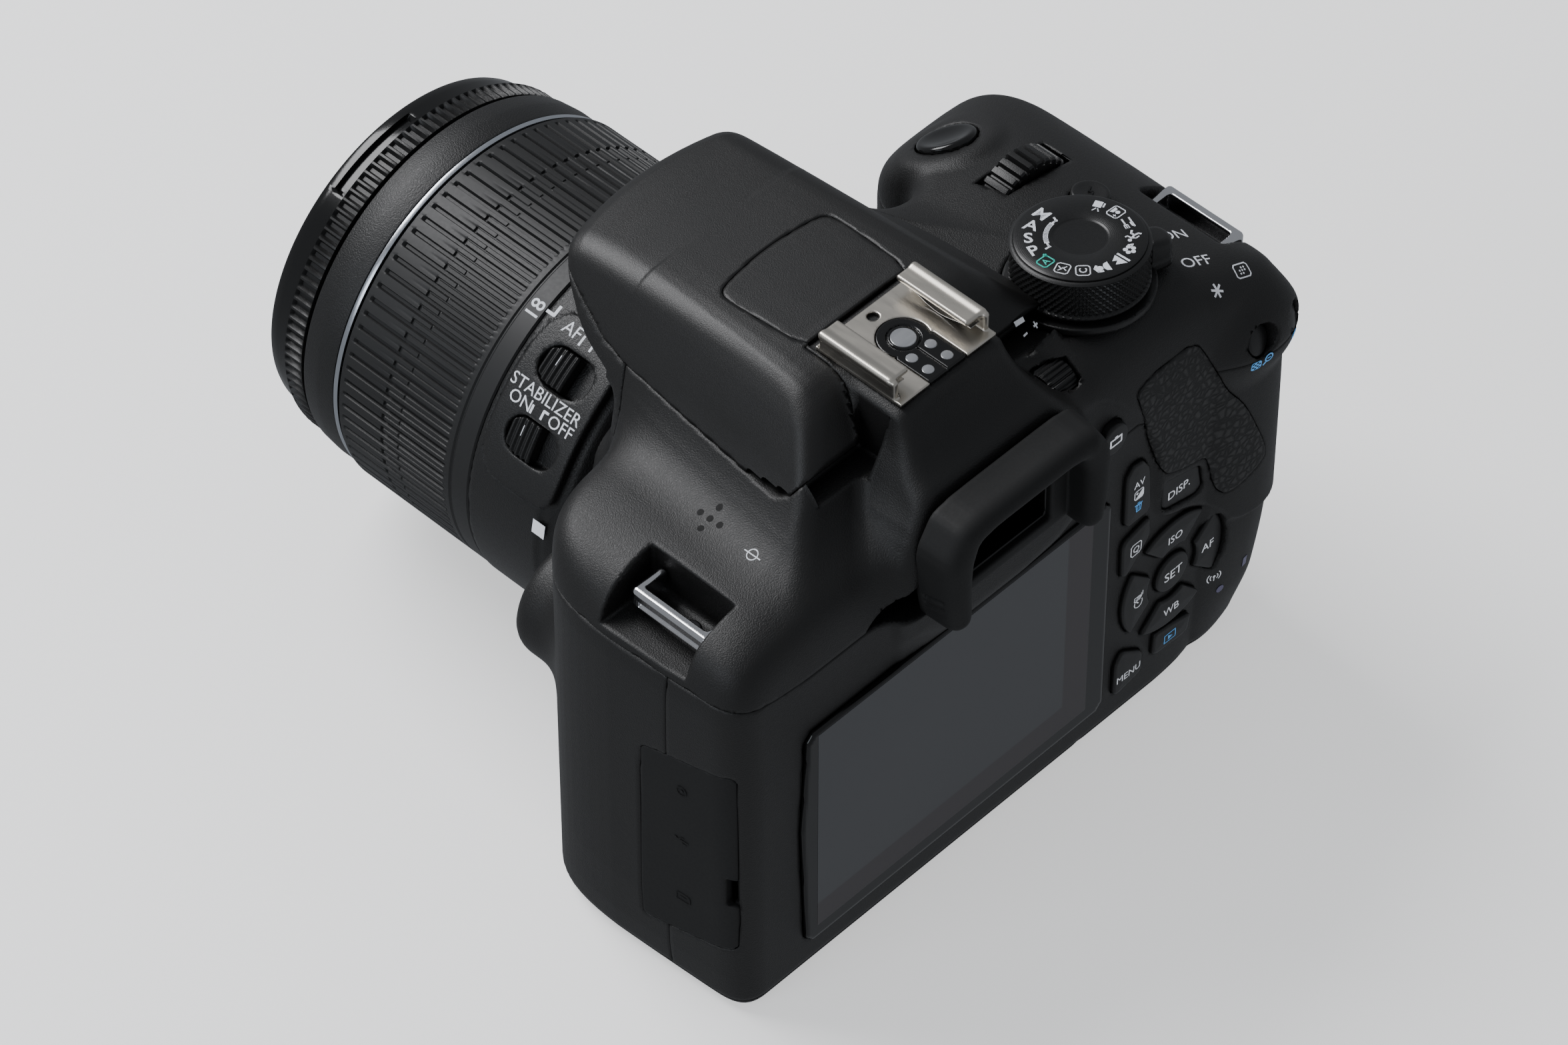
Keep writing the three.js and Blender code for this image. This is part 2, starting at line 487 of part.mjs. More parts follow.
const switchSlot = (degrees) =>
  block(-3.2, 3.2, SWITCH_Y - 5, SWITCH_Y + 5, 32, 40).transform(onBarrel(degrees).elements);
const switchKnob = (degrees) =>
  block(-2.8, 2.8, knobY - 2.9, knobY + 2.9, 32.4, 35).transform(onBarrel(degrees).elements);
// The switches sit in a panel raised slightly above the barrel.
const panel = block(-15, 15, -21, -4.6, 30, 34.9)
  .transform(onBarrel(44).elements)
  .intersect(ring(29.6, 34.25, -21, -4.6, 48));
const barrelWithPanel = rearBarrel
  .add(bayonet)
  .add(panel)
  .subtract(switchSlot(FOCUS_SWITCH))
  .subtract(switchSlot(STABILIZER_SWITCH));

// ---- build the scene ----
const camera = new THREE.Group();
camera.position.set((WIDTH_GRIP - WIDTH_PORT) / 2, -(LENS_FRONT + EYECUP_REAR) / 2, 0);
function add(name, piece, material) {
  const mesh = piece.getMesh();
  const geometry = new THREE.BufferGeometry();
  geometry.setAttribute("position", new THREE.BufferAttribute(mesh.vertProperties, 3));
  geometry.setIndex(new THREE.BufferAttribute(mesh.triVerts, 1));
  const made = new THREE.Mesh(geometry, material);
  made.name = name;
  camera.add(made);
}

add("top_cover", largest(topCover), BODY);
add("front_cover", largest(frontCoverTrimmed.add(frontUpper)), BODY);
add("rear_cover", largest(rearCover), BODY);
add("bottom_cover", largest(bottomCover), BODY);
add("grip_rubber", largest(gripRubber), RUBBER);
add("thumb_rubber", largest(thumbRubber), RUBBER);
add("flash_lid", largest(lid), BODY);
add("flash_lamp", block(-12, 12, -11, -5, 86, 91.4), GLASS);
add("mirror_box", mirrorBox, INNER);
add("lens_mount", mountRing, CHROME);
add("reflex_mirror", mirror, CHROME);
add("focusing_screen", screen, GLASS);
add("pentamirror", pentamirror, INNER);
add("shutter_unit", shutterUnit, INNER);
add("shutter_curtain", curtain, INNER);
add("image_sensor", sensor, BOARD);
add("main_board", board, BOARD);
add("flash_capacitor", capacitor, CELL);
add("battery", battery, CELL);
add("memory_card", card, CELL);
add("display_panel", screenPanel, INNER);
add("display_glass", glassPlate, GLASS);
add("eyepiece_lens", eyepieceLens, GLASS);
add("eyecup", eyecup, RUBBER);
add("tripod_socket", socket, BRASS);
add("port_panel", portPanel, INNER);
add("port_door", largest(door), RUBBER);
add("battery_door", batteryDoor, BODY);
add("shoe_bracket", bracket, STEEL);
add("shoe_insert", shoeInsert, INNER);
add("strap_lug_left", lug(43.4, 49.6, 29.4, 73, 42.4, 47.9), CHROME);
add("strap_lug_right", lug(-68.6, -61.4, 31, 74.4, -66.9, -60.4), CHROME);
add("lens_release_button", largest(releaseButton), CONTROL);
add("mode_dial", dial, CONTROL);
add("power_lever", lever, CONTROL);
add("command_dial", wheel, CONTROL);
add("flash_button", flashButton, CONTROL);
add("shutter_button", shutterButton, CONTROL);
add("autoexposure_lock_button", lockButton, CONTROL);
add("focus_point_button", pointButton, CONTROL);
add("diopter_dial", diopter, CONTROL);
for (const [name, outline] of Object.entries(REAR_BUTTONS)) {
  add(name, alongY(outline, REAR_Y - 2.6, REAR_Y + 0.8), CONTROL);
}
add("lens_rear_barrel", largest(barrelWithPanel), BODY);
add("zoom_ring", zoomRing, RUBBER);
add("lens_inner_barrel", innerBarrel, BODY);
add("focus_ring", focusRing, CONTROL);
add("front_lens_element", frontGlass, GLASS);
add("rear_lens_element", rearGlass, GLASS);
add("focus_mode_switch", switchKnob(FOCUS_SWITCH), CONTROL);
add("stabilizer_switch", switchKnob(STABILIZER_SWITCH), CONTROL);

export default camera;
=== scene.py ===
"""A single-lens-reflex camera with its zoom lens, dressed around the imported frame.

Shapes are worked out in millimetres in the maker's own frame (x = 0 and z = AXIS_Z is the lens axis,
y = 0 the lens flange) and moved into the frame's metres by place().
"""

import math

import bmesh
import bpy
import numpy as np
from mathutils import Euler, Matrix, Vector


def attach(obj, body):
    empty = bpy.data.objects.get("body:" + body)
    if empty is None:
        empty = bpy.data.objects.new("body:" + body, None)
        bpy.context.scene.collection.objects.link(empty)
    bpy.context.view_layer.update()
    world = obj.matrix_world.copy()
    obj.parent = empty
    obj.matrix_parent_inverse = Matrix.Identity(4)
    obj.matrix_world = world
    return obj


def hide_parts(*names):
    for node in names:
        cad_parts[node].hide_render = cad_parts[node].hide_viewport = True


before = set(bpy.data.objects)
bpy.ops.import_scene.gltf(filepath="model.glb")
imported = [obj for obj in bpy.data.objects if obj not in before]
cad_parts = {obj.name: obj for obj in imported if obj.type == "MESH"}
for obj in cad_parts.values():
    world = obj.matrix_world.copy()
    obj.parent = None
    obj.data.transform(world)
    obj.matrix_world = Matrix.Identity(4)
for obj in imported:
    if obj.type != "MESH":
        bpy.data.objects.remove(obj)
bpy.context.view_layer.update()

MM = 0.001
SHIFT = np.array([8.5, 2.3, 0.0])  # the maker's frame inside the row frame
AXIS_Z = 42.0
COARSER = 1.0


def place(points):
    return (np.asarray(points, float) + SHIFT) * MM


# ---------------------------------------------------------------- finishes
class Value:
    """A socket of a finish, with the arithmetic of its Math nodes."""

    def __init__(self, finish, socket):
        self.finish = finish
        self.socket = socket

    def math(self, operation, *others):
        node = self.finish.node("Math", {"operation": operation}, dict(enumerate([self, *others])))
        return Value(self.finish, node.outputs[0])

    def __add__(self, other):
        return self.math("ADD", other)

    def __sub__(self, other):
        return self.math("SUBTRACT", other)

    def __mul__(self, other):
        return self.math("MULTIPLY", other)

    def __rsub__(self, other):
        node = self.finish.node("Math", {"operation": "SUBTRACT"}, {0: other, 1: self})
        return Value(self.finish, node.outputs[0])

    def __pow__(self, other):
        return self.math("POWER", other)

    __radd__ = __add__
    __rmul__ = __mul__

    def between(self, low, high):
        """0 below low, 1 above high, smooth in between."""
        node = self.finish.node(
            "MapRange", {"interpolation_type": "SMOOTHSTEP"},
            {"Value": self, "From Min": low, "From Max": high},
        )
        return Value(self.finish, node.outputs["Result"])


class Finish:
    """One material, built from nodes."""

    made = {}

    def __init__(self, name):
        self.material = bpy.data.materials.new(name)
        self.material.use_nodes = True
        self.tree = self.material.node_tree
        self.tree.nodes.clear()
        self.place = self.node("TexCoord").outputs["Object"]
        Finish.made[name] = self.material

    def node(self, kind, settings=None, sockets=None):
        made = self.tree.nodes.new("ShaderNode" + kind)
        for key, value in (settings or {}).items():
            if key == "stops":
                ramp = made.color_ramp
                while len(ramp.elements) < len(value):
                    ramp.elements.new(1.0)
                for element, (position, color) in zip(ramp.elements, value):
                    element.position = position
                    element.color = color
            else:
                setattr(made, key, value)
        for key, value in (sockets or {}).items():
            socket = made.inputs[key]
            if isinstance(value, Value):
                self.tree.links.new(value.socket, socket)
            elif isinstance(value, bpy.types.NodeSocket):
                self.tree.links.new(value, socket)
            else:
                socket.default_value = value
        return made

    def noise(self, scale, detail=2.0, rough=0.5, at=None):
        node = self.node(
            "TexNoise", None,
            {"Vector": at or self.place, "Scale": scale, "Detail": detail, "Roughness": rough},
        )
        return Value(self, node.outputs["Fac"])

    def cells(self, scale, feature="F1", at=None):
        node = self.node("TexVoronoi", {"feature": feature}, {"Vector": at or self.place, "Scale": scale})
        return Value(self, node.outputs["Distance"])

    def stretched(self, scale=(1, 1, 1), rotation=(0, 0, 0)):
        node = self.node("Mapping", None, {"Vector": self.place, "Scale": scale, "Rotation": rotation})
        return node.outputs["Vector"]

    def split(self):
        node = self.node("SeparateXYZ", None, {"Vector": self.place})
        return [Value(self, node.outputs[axis]) for axis in "XYZ"]

    def blend(self, amount, first, second):
        """A colour between first and second."""
        node = self.node("Mix", {"data_type": "RGBA"}, {"Factor": amount, 6: first, 7: second})
        return node.outputs[2]

    def bump(self, height, strength, distance, under=None):
        sockets = {"Height": height, "Strength": strength, "Distance": distance}
        if under is not None:
            sockets["Normal"] = under
        return self.node("Bump", None, sockets).outputs["Normal"]

    def surface(self, **sockets):
        named = {key.replace("_", " "): value for key, value in sockets.items()}
        shader = self.node("BsdfPrincipled", None, named)
        self.node("OutputMaterial", None, {"Surface": shader.outputs["BSDF"]})
        return self.material


def shade(value, warmth=0.0):
    """A dark grey of this linear value, a little warmer or cooler."""
    return (value * (1 + warmth), value, value * (1 - warmth), 1)


def moulded(name, value, rough, grain, depth, scale=4200.0, warmth=0.04):
    """Injection-moulded plastic with a fine spark-eroded grain."""
    f = Finish(name)
    fine = f.noise(scale, 2.0, 0.6)
    broad = f.noise(60.0, 3.0, 0.5)
    color = f.blend(broad, shade(value * 0.85, warmth), shade(value * 1.2, warmth * 0.5))
    roughness = (fine - 0.5) * grain + (broad - 0.5) * 0.06 + rough
    normal = f.bump(fine.between(0.3, 0.7), 1.0, depth)
    return f.surface(Base_Color=color, Roughness=roughness, Normal=normal)


def metal(name, color, rough, brush=(1, 1, 1), scale=900.0, depth=2e-6):
    """Plated or brushed metal; brush stretches the marks along one axis."""
    f = Finish(name)
    marks = f.noise(scale, 3.0, 0.6, f.stretched(brush))
    stain = f.noise(140.0, 2.0)
    darker = tuple(c * 0.86 for c in color[:3]) + (1,)
    tone = f.blend(stain, darker, color)
    return f.surface(
        Base_Color=tone, Metallic=1.0, Roughness=(marks - 0.5) * 0.14 + rough,
        Normal=f.bump(marks, 0.6, depth),
    )


def painted(name, color, rough=0.5):
    """Printed ink, a little uneven."""
    f = Finish(name)
    speckle = f.noise(2600.0, 2.0)
    darker = tuple(c * 0.86 for c in color[:3]) + (1,)
    return f.surface(
        Base_Color=f.blend(speckle, darker, color), Roughness=(speckle - 0.5) * 0.15 + rough,
        Normal=f.bump(speckle, 0.3, 3e-6),
    )


def pebbled(name):
    """Rubber sheet with a wrinkled hide pattern; the creases between pebbles are darkened with painted shade.
    """
    f = Finish(name)
    warp = f.noise(420.0, 2.0)
    bent = f.node(
        "VectorMath", {"operation": "MULTIPLY_ADD"},
        {
            0: f.node("TexNoise", None, {"Vector": f.place, "Scale": 380.0}).outputs["Color"],
            1: (0.0012, 0.0012, 0.0012), 2: f.place,
        },
    ).outputs["Vector"]
    hide = f.cells(720.0, "DISTANCE_TO_EDGE", bent).between(0.02, 0.34)
    fine = f.noise(5200.0, 2.0)
    # painted shade: the creases between the pebbles are coloured darker than their tops
    color = f.blend(hide, shade(0.006), shade(0.016))
    normal = f.bump(hide * 0.9 + fine * 0.1, 1.0, 1.6e-4)
    return f.surface(Base_Color=color, Roughness=0.62 - hide * 0.12 + (warp - 0.5) * 0.1, Normal=normal)


def rubber(name, value=0.012, rough=0.66):
    f = Finish(name)
    dust = f.noise(1900.0, 3.0, 0.65)
    broad = f.noise(70.0, 2.0)
    return f.surface(
        Base_Color=f.blend(broad, shade(value * 0.8, -0.02), shade(value * 1.25, -0.02)),
        Roughness=(dust - 0.5) * 0.16 + rough, Normal=f.bump(dust, 0.5, 1.2e-5),
    )


BODY = moulded("satin_body", 0.0058, 0.47, 0.22, 2.6e-5)
LID = moulded("fine_satin_lid", 0.0065, 0.42, 0.16, 1.3e-5, 4800.0)
CONTROL = moulded("control_plastic", 0.006, 0.4, 0.12, 8e-6, 5200.0, 0.0)
INNER = moulded("inner_plastic", 0.003, 0.6, 0.1, 8e-6, 5000.0, 0.0)
BARREL = moulded("barrel_plastic", 0.0075, 0.44, 0.24, 2.8e-5, 3800.0, 0.0)
GLOSSY = moulded("polished_plastic", 0.004, 0.16, 0.06, 1.5e-6, 3000.0, 0.0)
RIB_RUBBER = rubber("ribbed_rubber", 0.010, 0.5)
EYE_RUBBER = rubber("eyecup_rubber", 0.004, 0.7)
HIDE = pebbled("hide_rubber")
NICKEL = metal("satin_nickel", (0.70, 0.66, 0.59, 1), 0.30, (1, 0.2, 1))
STEEL = metal("brushed_steel", (0.60, 0.61, 0.63, 1), 0.30, (0.12, 1, 1))
CHROME = metal("polished_chrome", (0.80, 0.80, 0.82, 1), 0.10)
SILVER = metal("silver_band", (0.62, 0.65, 0.70, 1), 0.24)
DARK_STEEL = metal("blackened_steel", (0.05, 0.05, 0.055, 1), 0.35)
BRASS = metal("brass_thread", (0.60, 0.44, 0.20, 1), 0.32)
WHITE_INK = painted("white_ink", (0.90, 0.93, 0.99, 1))
BLUE_INK = painted("blue_ink", (0.09, 0.42, 0.92, 1))
TEAL_INK = painted("teal_ink", (0.02, 0.66, 0.52, 1))
GREY_INK = painted("grey_ink", (0.0012, 0.0012, 0.0014, 1), 0.35)
LAMP_INK = painted("unlit_lamp", (0.09, 0.085, 0.16, 1), 0.25)
# painted shade: near-black colour that stands in for the dark insides of holes
HOLE_SHADE_INK = painted("painted_hole_shade", (0.0015, 0.0015, 0.0015, 1), 0.8)
BOARD = painted("circuit_board", (0.01, 0.07, 0.03, 1), 0.45)
CELL = painted("cell_sleeve", (0.04, 0.042, 0.05, 1), 0.4)


def spun(name, centre, value=0.006, rough=0.3):
    """Turned plastic with fine rings round a centre, as (x, y) in millimetres."""
    f = Finish(name)
    x, y, _ = f.split()
    cx, cy = place([centre[0], centre[1], 0])[:2]
    dx = x - float(cx)
    dy = y - float(cy)
    radius = (dx * dx + dy * dy) ** 0.5
    rings = (radius * (math.tau / 0.00028)).math("SINE")
    grain = f.noise(3000.0, 2.0)
    return f.surface(
        Base_Color=f.blend(grain, shade(value * 0.8), shade(value * 1.3)),
        Roughness=(grain - 0.5) * 0.1 + rough, Normal=f.bump(rings, 0.5, 4e-6),
    )


def display(name):
    """The display behind its cover: grey, with a darker band of painted shadow from the window's border along
    one side and the bottom.
    """
    f = Finish(name)
    x, _, z = f.split()
    left, base = place([-23.28, 0, 9.83])[[0, 2]]
    # painted shadow of the window's border: the panel is coloured darker along one side and the bottom
    painted_border_shadow = 1.0 - (
        x.between(float(left) + 0.0054, float(left) + 0.0058)
    ) * z.between(float(base) + 0.0050, float(base) + 0.0054)
    haze = f.noise(30.0, 2.0)
    picture = f.blend(haze, (0.030, 0.032, 0.036, 1), (0.040, 0.042, 0.046, 1))
    color = f.blend(painted_border_shadow, picture, (0.026, 0.023, 0.025, 1))
    return f.surface(
        Base_Color=color, Roughness=(haze - 0.5) * 0.04 + 0.30, Coat_Roughness=0.05, Coat_IOR=1.5,
    )


def cover_glass(name):
    f = Finish(name)
    smear = f.noise(90.0, 3.0)
    return f.surface(
        Base_Color=f.blend(smear, shade(0.002), shade(0.0035)), Roughness=(smear - 0.5) * 0.05 + 0.12,
    )


def lens_glass(name, grazing_sheen_color):
    f = Finish(name)
    # painted reflection: the base colour runs from near black face on to the given colour at grazing angles,
    # a coating sheen painted into the colour
    ring = f.node("LayerWeight", None, {"Blend": 0.35}).outputs["Facing"]
    smear = f.noise(60.0, 2.0)
    color = f.blend(Value(f, ring), (0.004, 0.004, 0.008, 1), grazing_sheen_color)
    return f.surface(
        Base_Color=color, Roughness=(smear - 0.5) * 0.02 + 0.04, IOR=1.6, Coat_Weight=0.6, Coat_IOR=1.9,
        Coat_Roughness=0.02,
    )


DISPLAY = display("display_panel_grey")
COVER_GLASS = cover_glass("display_cover")
FRONT_GLASS = lens_glass("coated_front_glass", (0.05, 0.02, 0.10, 1))
FLASH_WINDOW = lens_glass("flash_window", (0.25, 0.26, 0.28, 1))
EYE_GLASS = lens_glass("eyepiece_glass", (0.01, 0.02, 0.03, 1))


# ---------------------------------------------------------------- meshes
def object_of(name, vertices, faces, material, body, smooth=True):
    mesh = bpy.data.meshes.new(name)
    mesh.from_pydata(np.asarray(vertices, float), [], faces)
    mesh.validate()
    mesh.update()
    if smooth:
        mesh.shade_smooth()
    mesh.materials.append(material)
    made = bpy.data.objects.new(name, mesh)
    bpy.context.scene.collection.objects.link(made)
    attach(made, body)
    return made


def smooth_min(a, b, k):
    h = np.maximum(k - np.abs(a - b), 0) / k
    return np.minimum(a, b) - h * h * k / 4


def smooth_max(a, b, k):
    return -smooth_min(-a, -b, k)


def step_between(value, low, high):
    t = np.clip((value - low) / (high - low), 0, 1)
    return t * t * (3 - 2 * t)


def softened(points, times=3, share=0.25):
    """Corners of a closed outline cut away again and again, until it curves."""
    p = np.asarray(points, float)
    for _ in range(times):
        q = np.roll(p, -1, axis=0)
        p = np.stack([p + (q - p) * share, q + (p - q) * share], axis=1).reshape(-1, 2)
    return p


class Outline:
    """Signed distance to a closed outline in a plane, held as a table."""

    def __init__(self, points, spacing=0.4, margin=8.0):
        a = np.asarray(points, float)
        self.low = a.min(0) - margin
        self.spacing = spacing
        size = np.ceil((a.max(0) + margin - self.low) / spacing).astype(int) + 1
        u = self.low[0] + np.arange(size[0]) * spacing
        v = self.low[1] + np.arange(size[1]) * spacing
        uu, vv = np.meshgrid(u, v, indexing="ij")
        best = np.full(uu.shape, 1e9)
        inside = np.zeros(uu.shape, bool)
        for (x0, y0), (x1, y1) in zip(a, np.roll(a, -1, axis=0)):
            ex, ey = x1 - x0, y1 - y0
            px, py = uu - x0, vv - y0
            t = np.clip((px * ex + py * ey) / max(ex * ex + ey * ey, 1e-12), 0, 1)
            best = np.minimum(best, (px - t * ex) ** 2 + (py - t * ey) ** 2)
            if y0 != y1:
                crosses = (y0 > vv) != (y1 > vv)
                inside ^= crosses & (uu < x0 + (vv - y0) * ex / ey)
        self.table = np.sqrt(best) * np.where(inside, -1, 1)
        self.top = np.array(self.table.shape) - 1.001

    def __call__(self, u, v):
        fu = (u - self.low[0]) / self.spacing
        fv = (v - self.low[1]) / self.spacing
        cu = np.clip(fu, 0, self.top[0])
        cv = np.clip(fv, 0, self.top[1])
        i = cu.astype(int)
        j = cv.astype(int)
        a = cu - i
        b = cv - j
        t = self.table
        value = (t[i, j] * (1 - a) + t[i + 1, j] * a) * (1 - b) + (
            t[i, j + 1] * (1 - a) + t[i + 1, j + 1] * a
        ) * b
        return value + np.hypot(fu - cu, fv - cv) * self.spacing


def box_distance(x, y, z, low, high, radius=0.0):
    half = (np.asarray(high, float) - low) / 2 - radius
    middle = (np.asarray(high, float) + low) / 2
    dx = np.abs(x - middle[0]) - half[0]
    dy = np.abs(y - middle[1]) - half[1]
    dz = np.abs(z - middle[2]) - half[2]
    outside = np.sqrt(np.maximum(dx, 0) ** 2 + np.maximum(dy, 0) ** 2 + np.maximum(dz, 0) ** 2)
    return outside + np.minimum(np.maximum(np.maximum(dx, dy), dz), 0) - radius


BLOCK = 8


def contoured(distance, low, high, step):
    """The surface where distance is zero, with its corners kept: vertices in mm and quads."""
    low = np.asarray(low, float)
    counts = np.ceil((np.asarray(high, float) - low) / (BLOCK * step)).astype(int)
    at = np.stack(np.meshgrid(*[np.arange(c) for c in counts], indexing="ij"), -1).reshape(-1, 3)
    centre = low + (at + 0.5) * BLOCK * step
    near = np.abs(distance(*centre.T)) < BLOCK * step * 1.35
    at = at[near] * BLOCK
    span = np.arange(BLOCK + 1)
    local = np.stack(np.meshgrid(span, span, span, indexing="ij"), -1)
    side = counts * BLOCK + 2
    values = np.empty((len(at), BLOCK + 1, BLOCK + 1, BLOCK + 1))
    for start in range(0, len(at), 600):
        part = at[start : start + 600, None, None, None] + local
        p = low + part * step
        values[start : start + 600] = distance(p[..., 0], p[..., 1], p[..., 2])
    keys, points, flips = [], [], []
    for axis in range(3):
        head = [slice(0, BLOCK)] * 3
        tail = [slice(0, BLOCK)] * 3
        tail[axis] = slice(1, BLOCK + 1)
        a = values[(slice(None), *head)]
        b = values[(slice(None), *tail)]
        which, i, j, k = np.nonzero((a < 0) != (b < 0))
        start = at[which] + np.stack([i, j, k], 1)
        va = a[which, i, j, k]
        vb = b[which, i, j, k]
        point = start.astype(float)
        point[:, axis] += va / (va - vb)
        points.append(low + point * step)
        flips.append(va > 0)
        second, third = (axis + 1) % 3, (axis + 2) % 3
        around = []
        for du, dv in ((-1, -1), (0, -1), (0, 0), (-1, 0)):
            cell = start.copy() + 1
            cell[:, second] += du
            cell[:, third] += dv
            around.append((cell[:, 0] * side[1] + cell[:, 1]) * side[2] + cell[:, 2])
        keys.append(np.stack(around, 1))
    keys = np.concatenate(keys)
    points = np.concatenate(points)
    flips = np.concatenate(flips)
    e = 0.12 * step
    normals = np.stack(
        [
            distance(points[:, 0] + e, points[:, 1], points[:, 2])
            - distance(points[:, 0] - e, points[:, 1], points[:, 2]),
            distance(points[:, 0], points[:, 1] + e, points[:, 2])
            - distance(points[:, 0], points[:, 1] - e, points[:, 2]),
            distance(points[:, 0], points[:, 1], points[:, 2] + e)
            - distance(points[:, 0], points[:, 1], points[:, 2] - e),
        ],
        1,
    )
    normals /= np.maximum(np.linalg.norm(normals, axis=1, keepdims=True), 1e-9)
    cells, index = np.unique(keys.reshape(-1), return_inverse=True)
    index = index.reshape(-1)
    each = np.repeat(np.arange(len(points)), 4)
    count = np.bincount(index).astype(float)
    total = lambda w: np.bincount(index, weights=w[each])
    mean = np.stack([total(points[:, c]) for c in range(3)], 1) / count[:, None]
    offset = np.einsum("ij,ij->i", normals, points)
    ata = np.empty((len(cells), 3, 3))
    atb = np.empty((len(cells), 3))
    for r in range(3):
        for c in range(r, 3):
            ata[:, r, c] = ata[:, c, r] = total(normals[:, r] * normals[:, c])
        atb[:, r] = total(normals[:, r] * offset)
    atb -= np.einsum("nij,nj->ni", ata, mean)
    ata += np.eye(3) * 0.06
    vertex = mean + np.linalg.solve(ata, atb[..., None])[..., 0]
    cell_z = cells % side[2] - 1
    cell_y = cells // side[2] % side[1] - 1
    cell_x = cells // (side[1] * side[2]) - 1
    corner = low + np.stack([cell_x, cell_y, cell_z], 1) * step
    vertex = np.clip(vertex, corner, corner + step)
    quads = index.reshape(-1, 4)
    quads[flips] = quads[flips][:, ::-1]
    return vertex, quads


def moulding(name, distance, low, high, step, material, body, stands_for=()):
    """A moulded piece: the inside of a distance field, as a closed mesh."""
    vertices, quads = contoured(distance, low, high, step * COARSER)
    made = object_of(name, place(vertices), quads.tolist(), material, body)
    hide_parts(*stands_for)
    return made


# ---------------------------------------------------------------- the body's outside
WIDTH_GRIP, WIDTH_PORT = 73.0, 56.0
GRIP_FRONT, REAR_Y = -12.0, 56.3
SEAM_Y, SEAM_Z, BASE_T = 41.5, 66.9, 2.2
GAP = 0.09  # half a seam between covers


def curve_through(parts, steps=16):
    """A closed outline of straight moves (x, y) and quadratic ones (cx, cy, x, y)."""
    points = [parts[0]]
    for part in parts[1:]:
        if len(part) == 2:
            points.append(part)
            continue
        (x0, y0), (cx, cy, x1, y1) = points[-1], part
        for i in range(1, steps + 1):
            t = i / steps
            u = 1 - t
            points.append(
                (u * u * x0 + 2 * u * t * cx + t * t * x1, u * u * y0 + 2 * u * t * cy + t * t * y1)
            )
    return points


PLAN = Outline(
    curve_through(
        [
            (48, REAR_Y), (-50, REAR_Y), (-54, 58.4, -60, 58.4), (-68.5, 58, -70, 48), (-WIDTH_GRIP, 24),
            (-WIDTH_GRIP, GRIP_FRONT, -56, GRIP_FRONT), (-41, GRIP_FRONT, -39.5, 1), (-38.5, 6, -34, 6),
            (34, 6), (WIDTH_PORT, 10, WIDTH_PORT, 30), (54, 50), (53.5, REAR_Y, 48, REAR_Y),
        ]
    )
)
LEFT_ACROSS = Outline(
    softened(
        [
            (10, -20), (WIDTH_PORT + 1, -20), (56.8, 62), (55, 69.5), (50.5, 76.2), (43, 79.6), (34, 80.6),
            (10, 81),
        ]
    )
)
LEFT_ALONG = Outline(
    softened(
        [
            (-2, -20), (70, -20), (57.2, 60), (56.6, 71), (53, 78), (45, 80.8), (20, 80.8), (11, 79),
            (5.5, 73), (4, 60),
        ]
    )
)
RIGHT_ACROSS = Outline(
    softened(
        [(-74.5, -20), (-16, -20), (-16, 86), (-36, 86.2), (-50, 84.2), (-64, 79), (-71.6, 72), (-74.4, 62)]
    )
)
RIGHT_ALONG = Outline(
    softened(
        [
            (-14, -20), (70, -20), (60, 60), (58.6, 72), (54, 83), (47, 86.4), (24, 87), (12, 83.6),
            (-3, 77.4), (-11, 69), (-14, 58),
        ]
    )
)
LID_SIDE = Outline(
    softened(
        [
            (-2, 60), (50, 60), (46.5, 80), (44.5, 85.5), (42.2, 90), (38, 95.4), (33.5, 98.2), (26, 98.6),
            (-14.6, 95.2), (-18.4, 93.2), (-17.6, 89.6), (-12, 83.4), (-4.2, 80), (2, 79), (3, 70),
        ],
        2, 0.2,
    )
)
LID_ACROSS_FRONT = Outline(
    softened(
        [
            (-25, 60), (25, 60), (24, 80), (22.4, 85), (19.4, 90.5), (16.6, 95.2), (13.4, 98.6),
            (-13.4, 98.6), (-16.6, 95.2), (-19.4, 90.5), (-22.4, 85), (-24, 80),
        ],
        2, 0.22,
    )
)
REAR_HOUSE = Outline(
    softened(
        [
            (30, 50), (57.6, 50), (57.8, 80), (57, 86.5), (52.6, 89.6), (49.6, 94), (47.9, 98.2),
            (24, 98.4), (24, 60),
        ],
        2, 0.2,
    )
)
PEDESTAL_ACROSS = Outline(
    softened(
        [
            (-19, 60), (19, 60), (18.6, 80), (14.6, 87.5), (12.2, 92), (11.0, 98.2), (-11.0, 98.2),
            (-12.2, 92), (-14.6, 87.5), (-18.6, 80),
        ],
        2, 0.22,
    )
)
THUMB_RIDGE = Outline(
    softened(
        [
            (-20.2, 83), (-20.2, 79.4), (-27.3, 77), (-34, 68), (-37.6, 60), (-38.9, 44.3), (-40, 41.2),
            (-46.6, 39.3), (-52.4, 34.3), (-55.1, 29), (-80, 29), (-80, 90), (-20, 90),
        ],
        2,
    )
)
AXIS_TURN = {
    "mode_dial": ((-36.2, 41, 86.6), (0.078, -0.061)), "flash_button": ((-52.3, 28.6, 83.4), (0.05, -0.16)),
    "shutter_button": ((-49.5, 1.5, 78.2), (0.52, -0.1)),
    "autoexposure_lock_button": ((-57.3, 57.5, 69), (-1.2, -0.25)),
    "focus_point_button": ((-65.2, 57, 67.6), (-1.2, -0.5)),
}
LEANING = {}
for control, (centre, (about_x, about_y)) in AXIS_TURN.items():
    turn = Matrix.Rotation(about_x, 3, "X") @ Matrix.Rotation(about_y, 3, "Y")
    LEANING[control] = (np.array(centre, float), np.array(turn))


